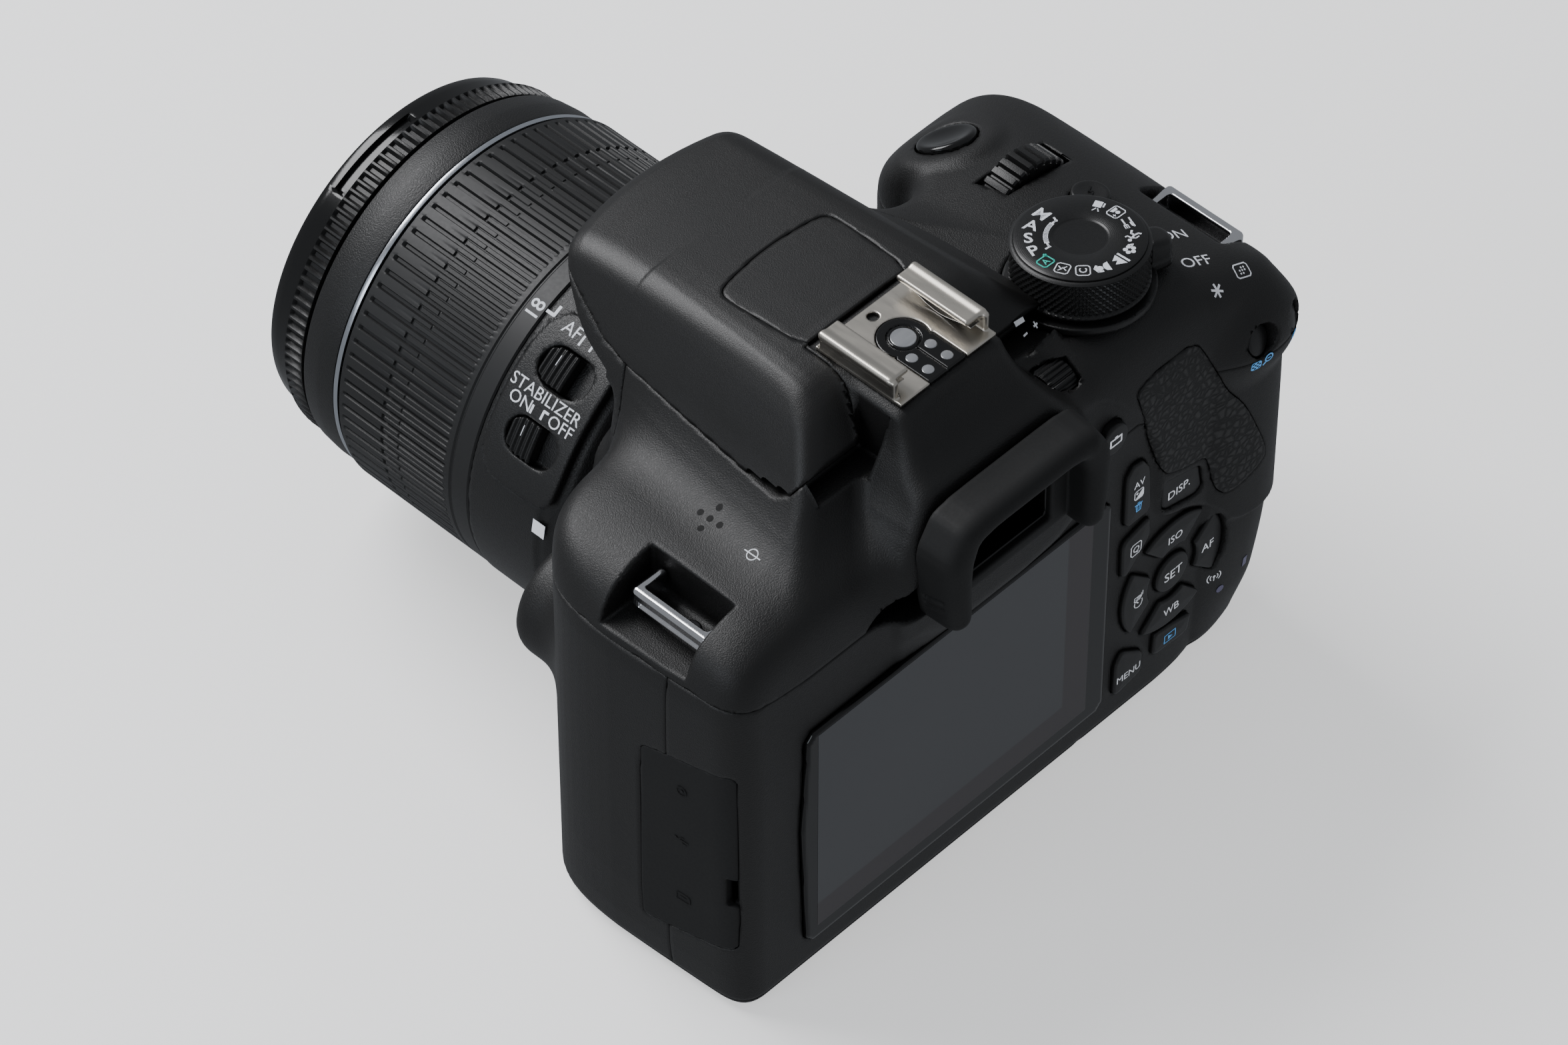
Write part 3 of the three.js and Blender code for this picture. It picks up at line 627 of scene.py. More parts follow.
def in_control(control, x, y, z):
    """Coordinates in a leaning control's own frame, its axis third."""
    centre, turn = LEANING[control]
    d = (x - centre[0], y - centre[1], z - centre[2])
    return [d[0] * turn[0, c] + d[1] * turn[1, c] + d[2] * turn[2, c] for c in range(3)]


def ellipsoid(x, y, z, centre, radii):
    u, v, w = (x - centre[0]) / radii[0], (y - centre[1]) / radii[1], (z - centre[2]) / radii[2]
    r = np.sqrt(u * u + v * v + w * w)
    return (r - 1) * min(radii) * np.maximum(1, 0.5 + 0.5 * r)


RELEASE = (36.5, 43.0)
COLLAR_R = 36.0


def outer(x, y, z):
    """The camera's outside, before the wells and windows are cut."""
    rear_step = 1.1 * step_between(-THUMB_RIDGE(x, z), -0.9, 0.9) * step_between(y, 44, 50)
    low = step_between(30 - z, 0, 34) * step_between(-x, 40, 70)
    toe = step_between(13 - z, 0, 16) * step_between(-x, 46, 66) * step_between(y, 20, 50)
    plan = PLAN(x, y) - rear_step + 3.2 * low + 2.6 * toe
    left = smooth_max(LEFT_ACROSS(x, z), LEFT_ALONG(y, z), 7)
    right = smooth_max(RIGHT_ACROSS(x, z), RIGHT_ALONG(y, z), 6)
    middle = smooth_max(np.abs(x + 2) - 24, z - 70, 2)
    tops = smooth_min(smooth_min(left, right, 3), middle, 1)
    body = smooth_max(smooth_max(plan, tops, 4), -z, 3.2)
    bow = 2.4 * (np.abs(x) / 16) ** 2
    lid = smooth_max(
        LID_SIDE(y - np.where(y < 0, bow, 0), z),
        LID_ACROSS_FRONT(x * (1 - 0.0035 * np.clip(y + 16, 0, 60)), z), 2.6,
    )
    rear = smooth_max(REAR_HOUSE(y, z), PEDESTAL_ACROSS(x, z), 2.5)
    hump = smooth_min(lid, rear, 2.0)
    body = smooth_min(body, hump, 9)
    pod = ellipsoid(x, y, z, (-60.2, 54.6, 67.2), (10.2, 6.4, 8.6))
    body = smooth_min(body, pod, 1.6)
    from_axis = np.hypot(x, z - AXIS_Z)
    collar = smooth_max(smooth_max(from_axis - COLLAR_R, 0.4 - y, 1.5), y - 12, 1)
    boss = smooth_max(np.hypot(x - RELEASE[0], z - RELEASE[1]) - 10.6, 0.2 - y, 3.5)
    boss = smooth_max(boss, y - 14, 1)
    body = smooth_min(body, smooth_min(collar, boss, 3), 4)
    ring = np.hypot(*in_control("shutter_button", x, y, z)[:2])
    height = in_control("shutter_button", x, y, z)[2]
    body = smooth_min(body, smooth_max(smooth_max(ring - 7.4, height + 0.2, 2), -6 - height, 1), 3)
    return body


GLASS_OUTLINE = [
    (-26, 7), (-27.5, 8.6), (-27.5, 53.5), (-26, 55), (38.4, 55), (39.8, 53.6), (41, 34), (40, 8.6),
    (38.6, 7),
]
GLASS_EDGE = Outline(GLASS_OUTLINE, 0.25)
LEVER_ON, LEVER_TURN, LEVER_HALF, LEVER_REACH = 162.0, 20.0, 12.0, 17.4
WHEEL_X, WHEEL_Y, WHEEL_Z = -49.5, 16.5, 76.1


def polar(r, degrees):
    return (r * math.cos(math.radians(degrees)), r * math.sin(math.radians(degrees)))


LEVER_SPAN = (LEVER_ON - LEVER_TURN - LEVER_HALF - 3, LEVER_ON + LEVER_HALF + 3)
LEVER_POCKET = Outline(
    [(0, 0)] + [
        polar(
            LEVER_REACH + 0.9, LEVER_SPAN[0] + i * (LEVER_SPAN[1] - LEVER_SPAN[0]) / 24,
        ) for i in range(25)
    ],
    0.25,
)
KEY_X, KEY_Z = -43.1, 26.3


def key_outline(middle):
    inner, outside, half = 5.8, 11.8, 0.62
    outside_arc = [(outside, middle - half + half * i / 6) for i in range(13)]
    inside_arc = [(inner, middle - 0.78 * half + 0.78 * half * i / 6) for i in range(12, -1, -1)]
    return [(KEY_X + r * math.cos(t), KEY_Z + r * math.sin(t)) for r, t in outside_arc + inside_arc]


def circle(x, y, r, sides=40):
    return [
        (
            x + r * math.cos(math.tau * i / sides), y + r * math.sin(math.tau * i / sides),
        ) for i in range(sides)
    ]


REAR_BUTTONS = {
    "exposure_button": [(-37, 45.8), (-30.9, 45.6), (-30.9, 57), (-32.3, 58.8), (-34.6, 58.6), (-36.3, 56)],
    "quick_button": [(-30.7, 34.8), (-30.6, 42.4), (-36.9, 44.1), (-37.2, 39.8), (-31.9, 34.2)],
    "display_button": [(-39.5, 43.2), (-39.2, 50.1), (-48, 47.7), (-48.9, 42.2), (-47.4, 41.2)],
    "playback_button": [(-39.3, 9.2), (-39.6, 14.2), (-43.5, 13.7), (-48.4, 12.6), (-47.6, 8.8)],
    "menu_button": [(-30.2, 6.8), (-30.3, 14.4), (-31.8, 16.4), (-36.8, 12.9), (-36.8, 8.2)],
    "set_button": circle(KEY_X, KEY_Z, 3.8), "live_view_button": circle(-27, 69.3, 3),
    "key_right": key_outline(math.pi), "key_left": key_outline(0), "key_up": key_outline(math.pi / 2),
    "key_down": key_outline(-math.pi / 2),
}
BUTTON_EDGE = {name: Outline(softened(points, 2, 0.12), 0.2, 3.0) for name, points in REAR_BUTTONS.items()}


def all_buttons(x, z):
    best = np.full(x.shape, 9.0)
    for edge in BUTTON_EDGE.values():
        u0, v0 = edge.low
        u1, v1 = edge.low + edge.top * edge.spacing
        near = (x > u0) & (x < u1) & (z > v0) & (z < v1)
        if near.any():
            best[near] = np.minimum(best[near], edge(x[near], z[near]))
    return best


THUMB_PAD = [
    (-32.6, 75.2), (-33.5, 70.8), (-36.4, 61), (-39, 52.3), (-43.2, 50.4), (-48.8, 49), (-49.9, 46.4),
    (-51, 40.4), (-53.2, 37.9), (-61.1, 40.8), (-61.2, 43.5), (-56.1, 56.2), (-52, 62), (-49, 70),
    (-46, 76),
]
THUMB_EDGE = Outline(softened(THUMB_PAD, 2, 0.2), 0.25)
GRIP_PAD = [(-80, 9), (-38.6, 9), (-38.6, 56), (-42, 63), (-56, 65.5), (-80, 62)]
GRIP_EDGE = Outline(softened(GRIP_PAD, 3, 0.2), 0.4)
PORT_EDGE = Outline(
    softened(
        [
            (36.2, 11.4), (37.2, 10.8), (53.6, 14.4), (54.4, 15.6), (54.2, 53.2), (53.4, 54.2),
            (37.4, 50.6), (36.4, 49.6),
        ],
        1, 0.15,
    ),
    0.25,
)
LID_EDGE = Outline(
    [
        (-40, 91.6), (-16, 91.4), (-10, 89.2), (-2, 85.9), (3, 85), (38.0, 84.8), (40.6, 86.2), (42.3, 89),
        (42.3, 120), (-40, 120),
    ],
    0.3,
)
TONGUE_EDGE = Outline(
    softened(
        [(-10.9, 32), (-12.0, 13), (-10.8, 10.8), (0, 9.6), (10.8, 10.8), (12.0, 13), (10.9, 32)], 2, 0.2,
    ),
    0.25,
)
LEFT_WELL = Outline(softened([(27.4, 66.5), (27.4, 90), (44.8, 90), (44.8, 66.5)], 2, 0.12), 0.3)
WELL_FLOOR = 80.6


DIAL_WELL_R, LEVER_WELL_DEPTH = 12.2, 2.25
BUTTON_FLOOR = 53.2  # the bottom of the rear buttons' holes
BUTTON_GAP, GLASS_GAP = 0.16, 0.25


def windows(x, y, z):
    """Everything cut into the outside: wells, recesses and button holes."""
    u, v, w = in_control("mode_dial", x, y, z)
    reach = np.hypot(u, v)
    cut = np.maximum(np.minimum(reach - DIAL_WELL_R, LEVER_POCKET(u, v)), -LEVER_WELL_DEPTH - w)
    u, v, w = in_control("flash_button", x, y, z)
    reach = np.hypot(u, v)
    cut = np.minimum(cut, np.maximum(reach - 3.4, -4 - w))
    cut = np.minimum(cut, smooth_max(reach - 5.0, np.abs(w - 0.9) - 0.9, 0.7))
    u, v, w = in_control("shutter_button", x, y, z)
    reach = np.hypot(u, v)
    cut = np.minimum(cut, np.maximum(reach - 5.3, -5 - w))
    for control in ("autoexposure_lock_button", "focus_point_button"):
        u, v, w = in_control(control, x, y, z)
        cut = np.minimum(cut, np.maximum(np.hypot(u, v) - 2.85, -5 - w))
    cut = np.minimum(cut, np.maximum(np.hypot(x - WHEEL_X, z - WHEEL_Z) - 9.7, np.abs(y - WHEEL_Y) - 3.1))
    cut = np.minimum(cut, np.maximum(GLASS_EDGE(x, z) - GLASS_GAP, 51.5 - y))
    cut = np.minimum(cut, np.maximum(all_buttons(x, z) - BUTTON_GAP, BUTTON_FLOOR - y))
    well = np.maximum(LEFT_WELL(y, z), box_distance(x, y, z, (42.6, 20, 69.8), (60, 52, 100), 1.2))
    cut = np.minimum(cut, well)
    cut = np.minimum(cut, box_distance(x, y, z, (-90, 30.2, 70.6), (-61.4, 47.6, 100), 1.2))
    cut = np.minimum(cut, box_distance(x, y, z, (-9.4, 30, 68), (9.4, 70, 79.6), 0.8))
    diopter = np.maximum(np.hypot(y - 49.4, z - 80.6) - 3.8, np.abs(x + 21.0) - 2.9)
    cut = np.minimum(cut, diopter)
    cut = np.minimum(cut, np.maximum(np.hypot(x, z - AXIS_Z) - 29, y - 20))
    release = np.maximum(np.hypot(x - RELEASE[0], z - RELEASE[1]) - 8.3, 29.5 - np.hypot(x, z - AXIS_Z))
    return np.minimum(cut, np.maximum(release, y - 14))


def hollow(x, y, z):
    """The room inside the covers."""
    room = box_distance(x, y, z, (-68, 9, BASE_T + 0.3), (51, 50, 64), 3)
    grip = box_distance(x, y, z, (-66.5, -6.5, BASE_T + 0.3), (-44, 40, 60), 3)
    dome = box_distance(x, y, z, (-19, 10, 50), (19, 50, 77.6), 1)
    front = np.maximum(np.hypot(x, z - AXIS_Z) - 31, np.abs(y - 8) - 4)
    return np.minimum(np.minimum(room, grip), np.minimum(dome, front))


def shell(x, y, z):
    body = outer(x, y, z)
    room = np.maximum(hollow(x, y, z), body + 1.8)
    return np.maximum(np.maximum(body, -windows(x, y, z)), -room)


def shoe_seat(x, y, z):
    return box_distance(x, y, z, (-10.8, 28.5, 97.3), (10.8, 60, 120), 0.2)


def port_door_zone(x, y, z):
    return np.maximum(PORT_EDGE(y, z), 45 - x)


def lid_zone(x, y, z):
    """Above the seam that parts the flash lid from the housing, outside the shoe's pedestal."""
    rear_side = 11.4 + 0.35 * np.maximum(97 - z, 0)
    pedestal = np.maximum(np.abs(x) - rear_side, 28.7 - y)
    return np.maximum(LID_EDGE(y, z), -pedestal)


def above_seam(x, z):
    """Negative above the seam round the shoulders, which rises a little at the port side."""
    return SEAM_Z + 1.6 * step_between(x, 40, 54) - z


def front_zone(x, y, z):
    """The front cover: ahead of the side seam below, ahead of the housing's front seam above."""
    lower = np.maximum(y - SEAM_Y, -above_seam(x, z))
    slope = 3.4 + (85 - z) * 0.22
    upper = np.maximum(np.maximum(y - slope, -31 - x), x - 60)
    return np.minimum(lower, upper)


FLASH_WELL_LOW, FLASH_WELL_HIGH = (-17, -13, WELL_FLOOR), (17, 24.6, 99)


def top_cover(x, y, z):
    d = np.maximum(shell(x, y, z), above_seam(x, z) + GAP)
    d = np.maximum(d, GAP - front_zone(x, y, z))
    d = np.maximum(d, GAP - lid_zone(x, y, z))
    d = np.maximum(d, -box_distance(x, y, z, FLASH_WELL_LOW, FLASH_WELL_HIGH, 1))
    d = np.maximum(d, 36.3 - np.hypot(x, z - AXIS_Z))
    behind_lid = np.maximum(box_distance(x, y, z, (-25, 40, 85.2), (25, 46.2, 110)), 11.5 - np.abs(x))
    return np.maximum(d, -np.minimum(shoe_seat(x, y, z), np.maximum(behind_lid, y - 46)))


def lower_holes(x, y, z):
    return np.maximum(0.12 - port_door_zone(x, y, z), BASE_T + GAP - z)


def front_cover(x, y, z):
    d = np.maximum(shell(x, y, z), front_zone(x, y, z) + GAP)
    d = np.maximum(np.maximum(d, lower_holes(x, y, z)), GAP - lid_zone(x, y, z))
    d = np.maximum(d, -box_distance(x, y, z, FLASH_WELL_LOW, FLASH_WELL_HIGH, 1))
    pad = np.maximum(np.maximum(GRIP_EDGE(x, z) - 0.15, y - 20.2), -1.0 - outer(x, y, z))
    return np.maximum(d, -pad)


def thumb_recess(x, y, z):
    return np.maximum(np.maximum(THUMB_EDGE(x, z) - 0.15, 48 - y), -0.9 - outer(x, y, z))


def rear_cover(x, y, z):
    d = np.maximum(shell(x, y, z), SEAM_Y + GAP - y)
    d = np.maximum(np.maximum(d, lower_holes(x, y, z)), GAP - above_seam(x, z))
    return np.maximum(d, -thumb_recess(x, y, z))


def top_cover_with_pad(x, y, z):
    return np.maximum(top_cover(x, y, z), -thumb_recess(x, y, z))


def bottom_cover(x, y, z):
    d = np.maximum(outer(x, y, z), z - BASE_T + 0.05)
    socket = np.hypot(x, y - 24) - 7.15
    door = box_distance(x, y, z, (-69.9, -8.7, -5), (-42.7, 32.3, 9), 4)
    return np.maximum(d, -np.minimum(socket, door))


def flash_lid(x, y, z):
    body = outer(x, y, z)
    d = np.maximum(body, lid_zone(x, y, z) + GAP)
    d = np.maximum(d, -np.maximum(body + 1.5, LID_EDGE(y, z) - 3))
    return np.maximum(d, -np.maximum(TONGUE_EDGE(x, y) - 0.13, 94 - z))


def lid_tongue(x, y, z):
    return np.maximum(np.maximum(outer(x, y, z) + 0.06, TONGUE_EDGE(x, y)), np.maximum(96.3 - z, y - 28.35))


def port_door(x, y, z):
    body = outer(x, y, z)
    notch = box_distance(x, y, z, (51.5, 52.6, 24.6), (60, 56, 31), 0.5)
    return np.maximum(np.maximum(body + 0.02, -1.6 - body), np.maximum(port_door_zone(x, y, z), -notch))


def grip_rubber(x, y, z):
    body = outer(x, y, z)
    return np.maximum(np.maximum(body, -0.9 - body), np.maximum(GRIP_EDGE(x, z), y - 20.0))


def thumb_rubber(x, y, z):
    body = outer(x, y, z)
    return np.maximum(np.maximum(body - 0.12, -0.8 - body), np.maximum(THUMB_EDGE(x, z), 48.2 - y))


moulding(
    "top_shell", top_cover_with_pad, (-75, -13, 64), (58, 61, 100), 0.5, BODY, "camera_body",
    ["top_cover"],
)
moulding(
    "front_shell", front_cover, (-75, -19, -1), (58, 43, 96), 0.62, BODY, "camera_body",
    ["front_cover"],
)
moulding(
    "rear_shell", rear_cover, (-75, 40, -1), (58, 61, 70), 0.5, BODY, "camera_body",
    ["rear_cover"],
)
moulding(
    "base_shell", bottom_cover, (-75, -15, -2), (58, 61, 4), 0.55, BODY, "camera_body",
    ["bottom_cover"],
)
moulding(
    "lid_shell", flash_lid, (-27, -22, 78), (27, 46, 101), 0.45, LID, "flash_head",
    ["flash_lid"],
)
moulding("lid_tongue", lid_tongue, (-14, 7, 92), (14, 29, 101), 0.4, LID, "flash_head")
moulding(
    "port_flap_skin", port_door, (46, 34, 9), (58, 57, 57), 0.4, EYE_RUBBER, "port_flap",
    ["port_door"],
)
moulding(
    "grip_skin", grip_rubber, (-75, -14, 7), (-36, 22, 68), 0.55, HIDE, "camera_body",
    ["grip_rubber"],
)
moulding(
    "thumb_skin", thumb_rubber, (-64, 46, 36), (-30, 62, 78), 0.4, HIDE, "camera_body",
    ["thumb_rubber"],
)


# ---------------------------------------------------------------- turned pieces
WELD = 2e-6  # points on the axis nearer than this become one


def closed_grid(rows, sides):
    """The faces of a grid of points that closes on itself both ways."""
    i, j = np.meshgrid(np.arange(rows), np.arange(sides), indexing="ij")
    next_row, next_side = (i + 1) % rows, (j + 1) % sides
    corners = [i * sides + j, i * sides + next_side, next_row * sides + next_side, next_row * sides + j]
    return np.stack(corners, -1).reshape(-1, 4).tolist()


def face_outwards(made, weld=None):
    m = bmesh.new()
    m.from_mesh(made.data)
    if weld is not None:
        bmesh.ops.remove_doubles(m, verts=m.verts, dist=weld)
    bmesh.ops.recalc_face_normals(m, faces=m.faces)
    m.to_mesh(made.data)
    m.free()


def revolved(name, profile, sides, material, body, stands_for=(), shape=None, frame_of=None):
    """A closed (radius, height) profile turned about an axis.

    shape(angle, radius, height) may move the radius. Without frame_of the axis is the lens axis and the
    height is y; frame_of maps local points to millimetres."""
    angle = np.arange(sides) * math.tau / sides
    r = np.array([p[0] for p in profile], float)[:, None] * np.ones(sides)
    h = np.array([p[1] for p in profile], float)[:, None] * np.ones(sides)
    if shape is not None:
        r = shape(angle[None, :] * np.ones_like(r), r, h)
    if frame_of is None:
        points = np.stack([r * np.cos(angle), h, AXIS_Z + r * np.sin(angle)], -1).reshape(-1, 3)
    else:
        points = frame_of(np.stack([r * np.cos(angle), r * np.sin(angle), h], -1).reshape(-1, 3))
    made = object_of(name, place(points), closed_grid(len(profile), sides), material, body)
    face_outwards(made, WELD)
    sharpen(made)
    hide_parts(*stands_for)
    return made


def sharpen(made, angle=32):
    """Edges sharper than the angle are shaded as edges."""
    made.data.shade_smooth()
    made.data.set_sharp_from_angle(angle=math.radians(angle))


def bevelled(profile, size=0.3):
    """The corners of a (radius, height) profile cut back a little, twice."""
    points = np.asarray(profile, float)
    out = []
    for i, p in enumerate(points):
        before = points[i - 1] - p
        after = points[(i + 1) % len(points)] - p
        la, lb = np.linalg.norm(before), np.linalg.norm(after)
        cut = min(size, 0.4 * la, 0.4 * lb)
        if p[0] < 1e-6 or cut < 1e-6:
            out.append(tuple(p))
            continue
        start = p + before / la * cut
        end = p + after / lb * cut
        out += [tuple(start), tuple((start + end) * 0.2 + p * 0.6), tuple(end)]
    return out


def leaning_frame(control):
    centre, turn = LEANING[control]
    return lambda points: centre + points @ turn.T


def about_x(x, y, z):
    return lambda p: np.stack([x + p[:, 2], y + p[:, 0], z + p[:, 1]], 1)


def about_y(x, y, z):
    return lambda p: np.stack([x - p[:, 0], y + p[:, 2], z + p[:, 1]], 1)


# ---- lens
ZOOM_FRONT, ZOOM_REAR = -51.6, -22.4
ZOOM_R = 33.8
PITCHES = 84
PITCH = math.tau * ZOOM_R / PITCHES


def ribbed(angle, r, y):
    """Lengthwise grooves of the zoom grip, with a thin one between and two staggered rows of cross cuts."""
    along = (angle * ZOOM_R) % PITCH
    deep = step_between(-np.abs(((along + PITCH / 2) % PITCH) - PITCH / 2), -0.44, -0.24)
    ends = step_between(y, -50.6, -50.1) * step_between(-y, 27.6, 28.1)
    thin = step_between(-np.abs(along - PITCH / 2), -0.2, -0.08) * step_between(y, -42.2, -41.8) * ends
    cross = step_between(-np.abs(y + 41.6), -0.34, -0.2) * (along > 0.3) * (along < PITCH / 2)
    second = step_between(-np.abs(y + 38.0), -0.2, -0.1) * (along > PITCH / 2) * (along < PITCH - 0.3)
    depth = np.maximum(np.maximum(0.55 * deep * ends, 0.22 * thin), np.maximum(0.4 * cross, 0.2 * second))
    return np.where(r > 33.3, r - depth, r)


def groove_angles():
    steps = [
        0, 0.14, 0.24, 0.34, 0.46, 0.8, 1.06, 1.14, 1.2, 1.264, 1.33, 1.4, 1.48, 1.8, 2.06, 2.18, 2.28,
        2.38,
    ]
    return np.concatenate([(i * PITCH + np.array(steps) * PITCH / 2.528) / ZOOM_R for i in range(PITCHES)])


RIB_EDGE = 38


def ring_piece(name, profile, angles, material, body, stands_for=(), shape=None):
    """A turned piece with its own list of angles."""
    angles = np.asarray(angles)
    r = np.array([p[0] for p in profile], float)[:, None] * np.ones(len(angles))
    y = np.array([p[1] for p in profile], float)[:, None] * np.ones(len(angles))
    if shape is not None:
        r = shape(angles[None, :] * np.ones_like(r), r, y)
    points = np.stack([r * np.cos(angles), y, AXIS_Z + r * np.sin(angles)], -1).reshape(-1, 3)
    made = object_of(name, place(points), closed_grid(len(profile), len(angles)), material, body)
    face_outwards(made)
    sharpen(made, RIB_EDGE)
    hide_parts(*stands_for)
    return made


zoom_stations = [
    ZOOM_FRONT, -51.3, -50.6, -50.35, -50.1, -46, -42.2, -41.94, -41.8, -41.6, -41.4, -41.26, -39, -38.2,
    -38.1, -38.0, -37.9, -37.8, -34, -30, -28.1, -27.85, -27.6, -27.0, -26.7, -26.4, -26.2, -25.9, -22.7,
    ZOOM_REAR,
]


def zoom_radius(y):
    if y in (ZOOM_FRONT, ZOOM_REAR):
        return ZOOM_R - 0.3
    return ZOOM_R - 0.25 if -26.45 < y < -26.15 else ZOOM_R


zoom_profile = [(zoom_radius(y), y) for y in zoom_stations] + [(30.8, ZOOM_REAR), (30.8, ZOOM_FRONT)]
ring_piece(
    "zoom_grip_ring", zoom_profile, groove_angles(), RIB_RUBBER, "zoom_grip", ["zoom_ring"],
    ribbed,
)

revolved(
    "front_collar",
    bevelled(
        [
            (26, -52.6), (26, -8), (29, -8), (29, -53.2), (33.2, -53.4), (33.3, -57), (32.9, -60.4),
            (31, -60.7), (26, -60.6),
        ],
        0.35,
    ),
    220, BARREL, "front_barrel", ["lens_inner_barrel"],
)
revolved(
    "silver_band",
    bevelled([(30.4, -52.2), (33.35, -52.2), (33.45, -53.0), (33.0, -53.35), (30.4, -53.3)], 0.12), 220,
    SILVER, "front_barrel",
)


def serrated(angle, r, y):
    """Square teeth round the focus grip."""
    teeth = np.abs(((angle * TEETH / math.tau) % 1.0) - 0.5)
    depth = 0.75 * step_between(teeth, 0.17, 0.27)
    ends = step_between(y, -65.2, -64.8) * step_between(-y, 61.4, 61.7)
    return np.where(r > 32.2, r - depth * ends, r)


TEETH = 112
TOOTH_STATIONS = np.array([0.5, 0.62, 0.68, 0.77, 0.9, 1.1, 1.23, 1.32, 1.38])
teeth_angles = (np.arange(TEETH)[:, None] + TOOTH_STATIONS - 0.5).reshape(-1) * math.tau / TEETH
ring_piece(
    "focus_grip_ring",
    [
        (25.2, -61.1), (30, -61.1), (31.6, -61.2), (32.4, -61.4), (32.5, -61.7), (32.5, -63.2),
        (32.5, -64.8), (32.4, -65.2), (31.8, -65.5), (28.8, -65.5), (25.2, -64.8),
    ],
    teeth_angles, CONTROL, "focus_grip", ["focus_ring"], serrated,
)


def hooded(angle, r, y):
    """Three bayonet slots for a hood in the polished rim."""
    phase = ((angle - 0.35) % (math.tau / 3)) / (math.tau / 3)
    slot_here = step_between(phase, 0.30, 0.315) * step_between(1 - phase, 0.42, 0.435)
    inside = step_between(y, -68.4, -68.2) * step_between(-y, 66.6, 66.9)
    return np.where(r > 30.6, r - 0.9 * slot_here * inside, r)


rim_angles = np.arange(540) * math.tau / 540
ring_piece(
    "polished_rim",
    [
        (29.2, -65.6), (30.6, -65.6), (31.0, -65.8), (31.0, -66.6), (31.0, -66.9), (31.0, -67.6),
        (31.0, -68.2), (31.0, -68.4), (31.0, -69.6), (30.8, -70.05), (30.3, -70.2), (29.6, -70.2),
        (29.3, -70.0), (29.1, -68), (28.9, -66.4),
    ],
    rim_angles, GLOSSY, "focus_grip", (), hooded,
)
baffle = [(29.0, -69.0)]
for step_number in range(6):
    radius = 28.6 - step_number * 0.62
    depth = -68.6 + step_number * 0.72
    baffle += [(radius, depth), (radius - 0.05, depth + 0.6)]
baffle += [(24.4, -64.0), (24.4, -62.6), (29.0, -62.6)]
revolved("front_baffle", baffle, 160, INNER, "focus_grip")
dome = [(24.8 * t, -66.2 + 2.6 * t * t) for t in np.linspace(0, 1, 14)]
revolved(
    "front_glass", dome + [(24.8, -60.2), (0, -60.2)], 128, FRONT_GLASS, "focus_grip",
    ["front_lens_element"],
)

BARREL_PROFILE = Outline(
    [
        (18, -1.6), (30.4, -1.6), (32.6, -3.4), (33.5, -6.0), (33.5, -6.6), (34.0, -7.6), (34, -22),
        (30.4, -22), (30.4, -51), (29.4, -51), (29.4, -6.4), (18, -4.6),
    ],
    0.16, 5,
)
PANEL_MIDDLE = math.radians(42)
PANEL_EDGE = Outline(
    softened([(-14.8, -20.9), (14.8, -20.9), (14.8, -4.6), (-12.2, -4.6), (-14.8, -7.2)], 3, 0.16), 0.16, 4,
)
SWITCHES = {"focus_mode_switch": (52.6, -12.7), "stabilizer_switch": (32.2, -12.3)}
SWITCH_TRAVEL = 3.4
BARREL_R = 34.0
PANEL_TOP, POCKET_FLOOR = 34.75, 32.6  # radii of the raised panel and of the switch pockets' floors


def round_barrel(x, z):
    """Radius, and the distance round the barrel from the middle of the switch panel."""
    r = np.hypot(x, z - AXIS_Z)
    turn = (np.arctan2(z - AXIS_Z, x) - PANEL_MIDDLE + math.pi) % math.tau - math.pi
    return r, turn * BARREL_R


def switch_pocket(x, y, z, name, grow=0.0):
    degrees, middle = SWITCHES[name]
    r, around = round_barrel(x, z)
    u = around - (math.radians(degrees) - PANEL_MIDDLE) * BARREL_R
    v = y - middle
    stadium = np.hypot(u, np.maximum(np.abs(v) - 1.9, 0)) - 3.35 - grow
    return stadium, r


def rear_barrel(x, y, z):
    r, around = round_barrel(x, z)
    d = BARREL_PROFILE(r, y)
    panel = smooth_max(np.maximum(PANEL_EDGE(around, y), 31 - r), r - PANEL_TOP, 0.5)
    d = smooth_min(d, panel, 0.3)
    crease = np.abs(PANEL_EDGE(around, y) - 0.16) - 0.13
    d = np.maximum(d, -np.maximum(crease, 33.7 - r))
    for name in SWITCHES:
        stadium, _ = switch_pocket(x, y, z, name)
        d = smooth_max(d, -np.maximum(stadium, POCKET_FLOOR - r), 0.25)
    return d


def switch_knob(name):
    degrees, middle = SWITCHES[name]

    def shape(x, y, z):
        stadium, r = switch_pocket(x, y, z, name, -0.35)
        v = y - middle + SWITCH_TRAVEL / 2
        ridges = 0.22 * np.cos(v * math.tau / 1.15) * (np.abs(v) < 2.6)
        knob = smooth_max(np.maximum(stadium, np.abs(v) - 2.75), r - 34.9 - ridges, 0.3)
        return np.maximum(knob, 32.9 - r)

    return shape


moulding(
    "rear_barrel_skin", rear_barrel, (-36, -53, 5), (36, 0, 78), 0.55, BARREL, "camera_body",
    ["lens_rear_barrel"],
)
for switch, (degrees, middle) in SWITCHES.items():
    at_x = BARREL_R * math.cos(math.radians(degrees))
    at_z = AXIS_Z + BARREL_R * math.sin(math.radians(degrees))
    moulding(
        switch + "_knob", switch_knob(switch), (at_x - 5, middle - 6, at_z - 5),
        (at_x + 5, middle + 4, at_z + 5), 0.16, CONTROL, switch + "_part", [switch],
    )

# ---- mode dial, its lever, the command dial and the other controls
KNURLS = 60


